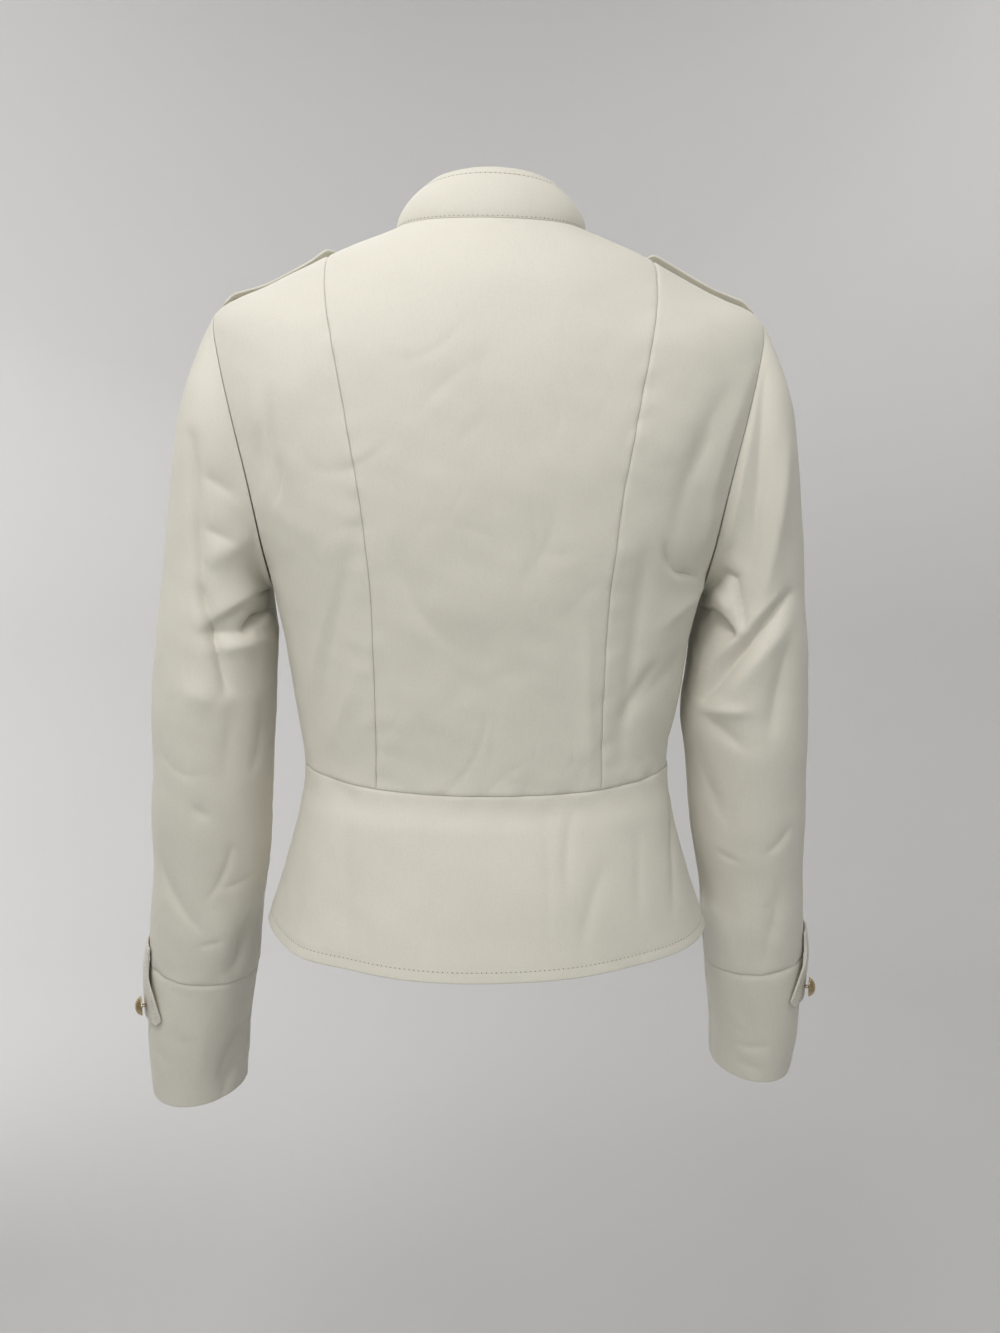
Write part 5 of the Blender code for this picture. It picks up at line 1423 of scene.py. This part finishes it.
def build_stage():
    """A pale floor that curves up into a round wall, soft lights and the camera."""
    look = bpy.context.scene.jacket_look
    floor, radius, cove, top = -1.30, 2.6, 0.8, 3.2
    mesh = bmesh.new()
    profile = [(0.0, floor), (radius - cove, floor)]
    profile += [(radius - cove + cove * math.sin(turn), floor + cove * (1 - math.cos(turn)))
                for turn in np.linspace(0.08, math.pi / 2, 16)]
    profile += [(radius, top)]
    turned_piece(mesh, profile, 96)
    bmesh.ops.recalc_face_normals(mesh, faces=mesh.faces)
    wall = finish("Backdrop", mesh)
    wall.data.materials.append(plain_material("pale wall", shade(look.wall_colour), 0.9, 0.03))
    made = [wall]
    for name, place, aim, size, power, tint in LIGHTS:
        data = bpy.data.lights.new(name, "AREA")
        data.shape, data.size, data.energy, data.color = "DISK", size, power * look.power, tint
        lamp = bpy.data.objects.new(name, data)
        lamp.location = place
        lamp.visible_camera = False
        lamp.rotation_euler = (Vector(aim) - Vector(place)).to_track_quat("-Z", "Y").to_euler()
        bpy.context.scene.collection.objects.link(lamp)
        made.append(lamp)
    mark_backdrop(*made)
    world = bpy.data.worlds.new("Studio")
    world.use_nodes = True
    background = world.node_tree.nodes["Background"]
    background.inputs["Color"].default_value = (0.93, 0.96, 1.0, 1)
    background.inputs["Strength"].default_value = look.ambient
    bpy.context.scene.world = world
    bpy.context.scene.view_settings.view_transform = "Standard"
    place_camera()


def place_camera():
    """The camera behind the jacket, a little above its middle and slightly to its left."""
    azimuth, pitch, roll = (math.radians(angle) for angle in (1.68, 7.66, 0.51))
    distance, height, shift = 0.7254, -0.2175, 0.0092
    right = Vector((-math.cos(azimuth), math.sin(azimuth), 0))
    forward, up = Vector((-math.sin(azimuth), -math.cos(azimuth), 0)), Vector((0, 0, 1))
    ahead = forward * math.cos(pitch) - up * math.sin(pitch)
    above = up * math.cos(pitch) + forward * math.sin(pitch)
    beside = right * math.cos(roll) + above * math.sin(roll)
    above = -right * math.sin(roll) + above * math.cos(roll)
    data = bpy.data.cameras.new("Camera")
    data.sensor_fit, data.sensor_height, data.lens = "VERTICAL", 36, 25.67
    data.clip_start, data.clip_end = 0.02, 20
    camera = bpy.data.objects.new("Camera", data)
    place = Vector((math.sin(azimuth) * distance, math.cos(azimuth) * distance, height)) + right * shift
    camera.matrix_world = Matrix((beside, above, -ahead)).transposed().to_4x4()
    camera.location = place
    bpy.context.scene.collection.objects.link(camera)
    bpy.context.scene.camera = camera


# ---------------------------------------------------------------- add-on

class JacketLook(bpy.types.PropertyGroup):
    """Colours and lights that can be changed before the jacket is dressed."""
    cloth_colour: bpy.props.FloatVectorProperty(
        name="Cloth", description="Colour of the sateen", subtype="COLOR", size=3, min=0, max=1,
        default=(0.735, 0.712, 0.635))
    metal_colour: bpy.props.FloatVectorProperty(
        name="Metal", description="Colour of the buttons and the zip", subtype="COLOR", size=3, min=0, max=1,
        default=(0.56, 0.43, 0.24))
    wall_colour: bpy.props.FloatVectorProperty(
        name="Wall", description="Colour of the floor and wall", subtype="COLOR", size=3, min=0, max=1,
        default=(0.62, 0.62, 0.615))
    stitch_length: bpy.props.FloatProperty(name="Stitch", description="Length of one stitch", default=0.0023,
                                           min=0.0005, unit="LENGTH")
    stitch_pitch: bpy.props.FloatProperty(name="Pitch", description="From one needle hole shade to the next",
                                          default=0.0033, min=0.001, unit="LENGTH")
    thread: bpy.props.FloatProperty(name="Thread", description="Width of one thread of the weave",
                                    default=0.00042, min=0.0001, unit="LENGTH")
    folds: bpy.props.FloatProperty(name="Folds", description="Share of the creases' full depth", default=1.0,
                                   min=0, subtype="FACTOR", soft_max=1.5)
    power: bpy.props.FloatProperty(name="Light", description="Share of the studio lights' power", default=1.0,
                                   min=0, subtype="FACTOR", soft_max=3)
    ambient: bpy.props.FloatProperty(name="Ambient", description="Strength of the light from all round",
                                     default=0.04, min=0)


class JACKET_OT_body(bpy.types.Operator):
    """Make the body's panels and the peplum, with their stitches"""
    bl_idname = "jacket.body"
    bl_label = "Body and peplum"

    def execute(self, context):
        build_back_panels()
        rows = build_front_panels() + build_peplum_panels()
        stitches("Body stitches", rows)
        return {"FINISHED"}


class JACKET_OT_collar(bpy.types.Operator):
    """Make the stand collar and its stitches"""
    bl_idname = "jacket.collar"
    bl_label = "Collar"

    def execute(self, context):
        stitches("Collar stitches", build_collar())
        return {"FINISHED"}


class JACKET_OT_sleeves(bpy.types.Operator):
    """Make the sleeves and cuffs"""
    bl_idname = "jacket.sleeves"
    bl_label = "Sleeves and cuffs"

    def execute(self, context):
        for side, label in SIDES:
            build_sleeve(side, label)
        return {"FINISHED"}


class JACKET_OT_straps(bpy.types.Operator):
    """Make the epaulettes and cuff tabs with their stitches and buttons"""
    bl_idname = "jacket.straps"
    bl_label = "Epaulettes and cuff tabs"

    def execute(self, context):
        rows = []
        for side, label in SIDES:
            rows += build_epaulette(side, label)
            rows += build_cuff_tab(side, label)
        stitches("Strap stitches", rows)
        return {"FINISHED"}


class JACKET_OT_zip(bpy.types.Operator):
    """Make the zip: tapes, teeth, box, slider and pull"""
    bl_idname = "jacket.zip"
    bl_label = "Zip"

    def execute(self, context):
        build_tapes()
        build_teeth()
        build_box()
        build_slider()
        build_pull()
        return {"FINISHED"}


class JACKET_OT_stage(bpy.types.Operator):
    """Set up the floor, wall, lights and camera"""
    bl_idname = "jacket.stage"
    bl_label = "Stage"

    def execute(self, context):
        build_stage()
        return {"FINISHED"}


class JACKET_PT_panel(bpy.types.Panel):
    """The jacket's settings and steps"""
    bl_label = "Cropped zip jacket"
    bl_idname = "JACKET_PT_panel"
    bl_space_type = "VIEW_3D"
    bl_region_type = "UI"
    bl_category = "Jacket"

    def draw(self, context):
        for name in JacketLook.__annotations__:
            self.layout.prop(context.scene.jacket_look, name)
        for step in STEPS:
            self.layout.operator(step.bl_idname)


STEPS = (JACKET_OT_body, JACKET_OT_collar, JACKET_OT_sleeves, JACKET_OT_straps, JACKET_OT_zip,
         JACKET_OT_stage)


def register():
    """Add the settings, steps and panel."""
    for kind in (JacketLook, *STEPS, JACKET_PT_panel):
        bpy.utils.register_class(kind)
    bpy.types.Scene.jacket_look = bpy.props.PointerProperty(type=JacketLook)


def unregister():
    """Take them away again."""
    del bpy.types.Scene.jacket_look
    for kind in (JACKET_PT_panel, *reversed(STEPS), JacketLook):
        bpy.utils.unregister_class(kind)


def corners():
    """The shown jacket's lowest and highest corner as plain lists."""
    return [list(corner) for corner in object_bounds()]


def main():
    """Dress the jacket step by step."""
    register()
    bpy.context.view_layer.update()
    bpy.ops.jacket.body()
    bpy.ops.jacket.collar()
    bpy.ops.jacket.sleeves()
    bpy.ops.jacket.straps()
    bpy.ops.jacket.zip()
    bpy.ops.jacket.stage()


if __name__ == "__main__":
    main()
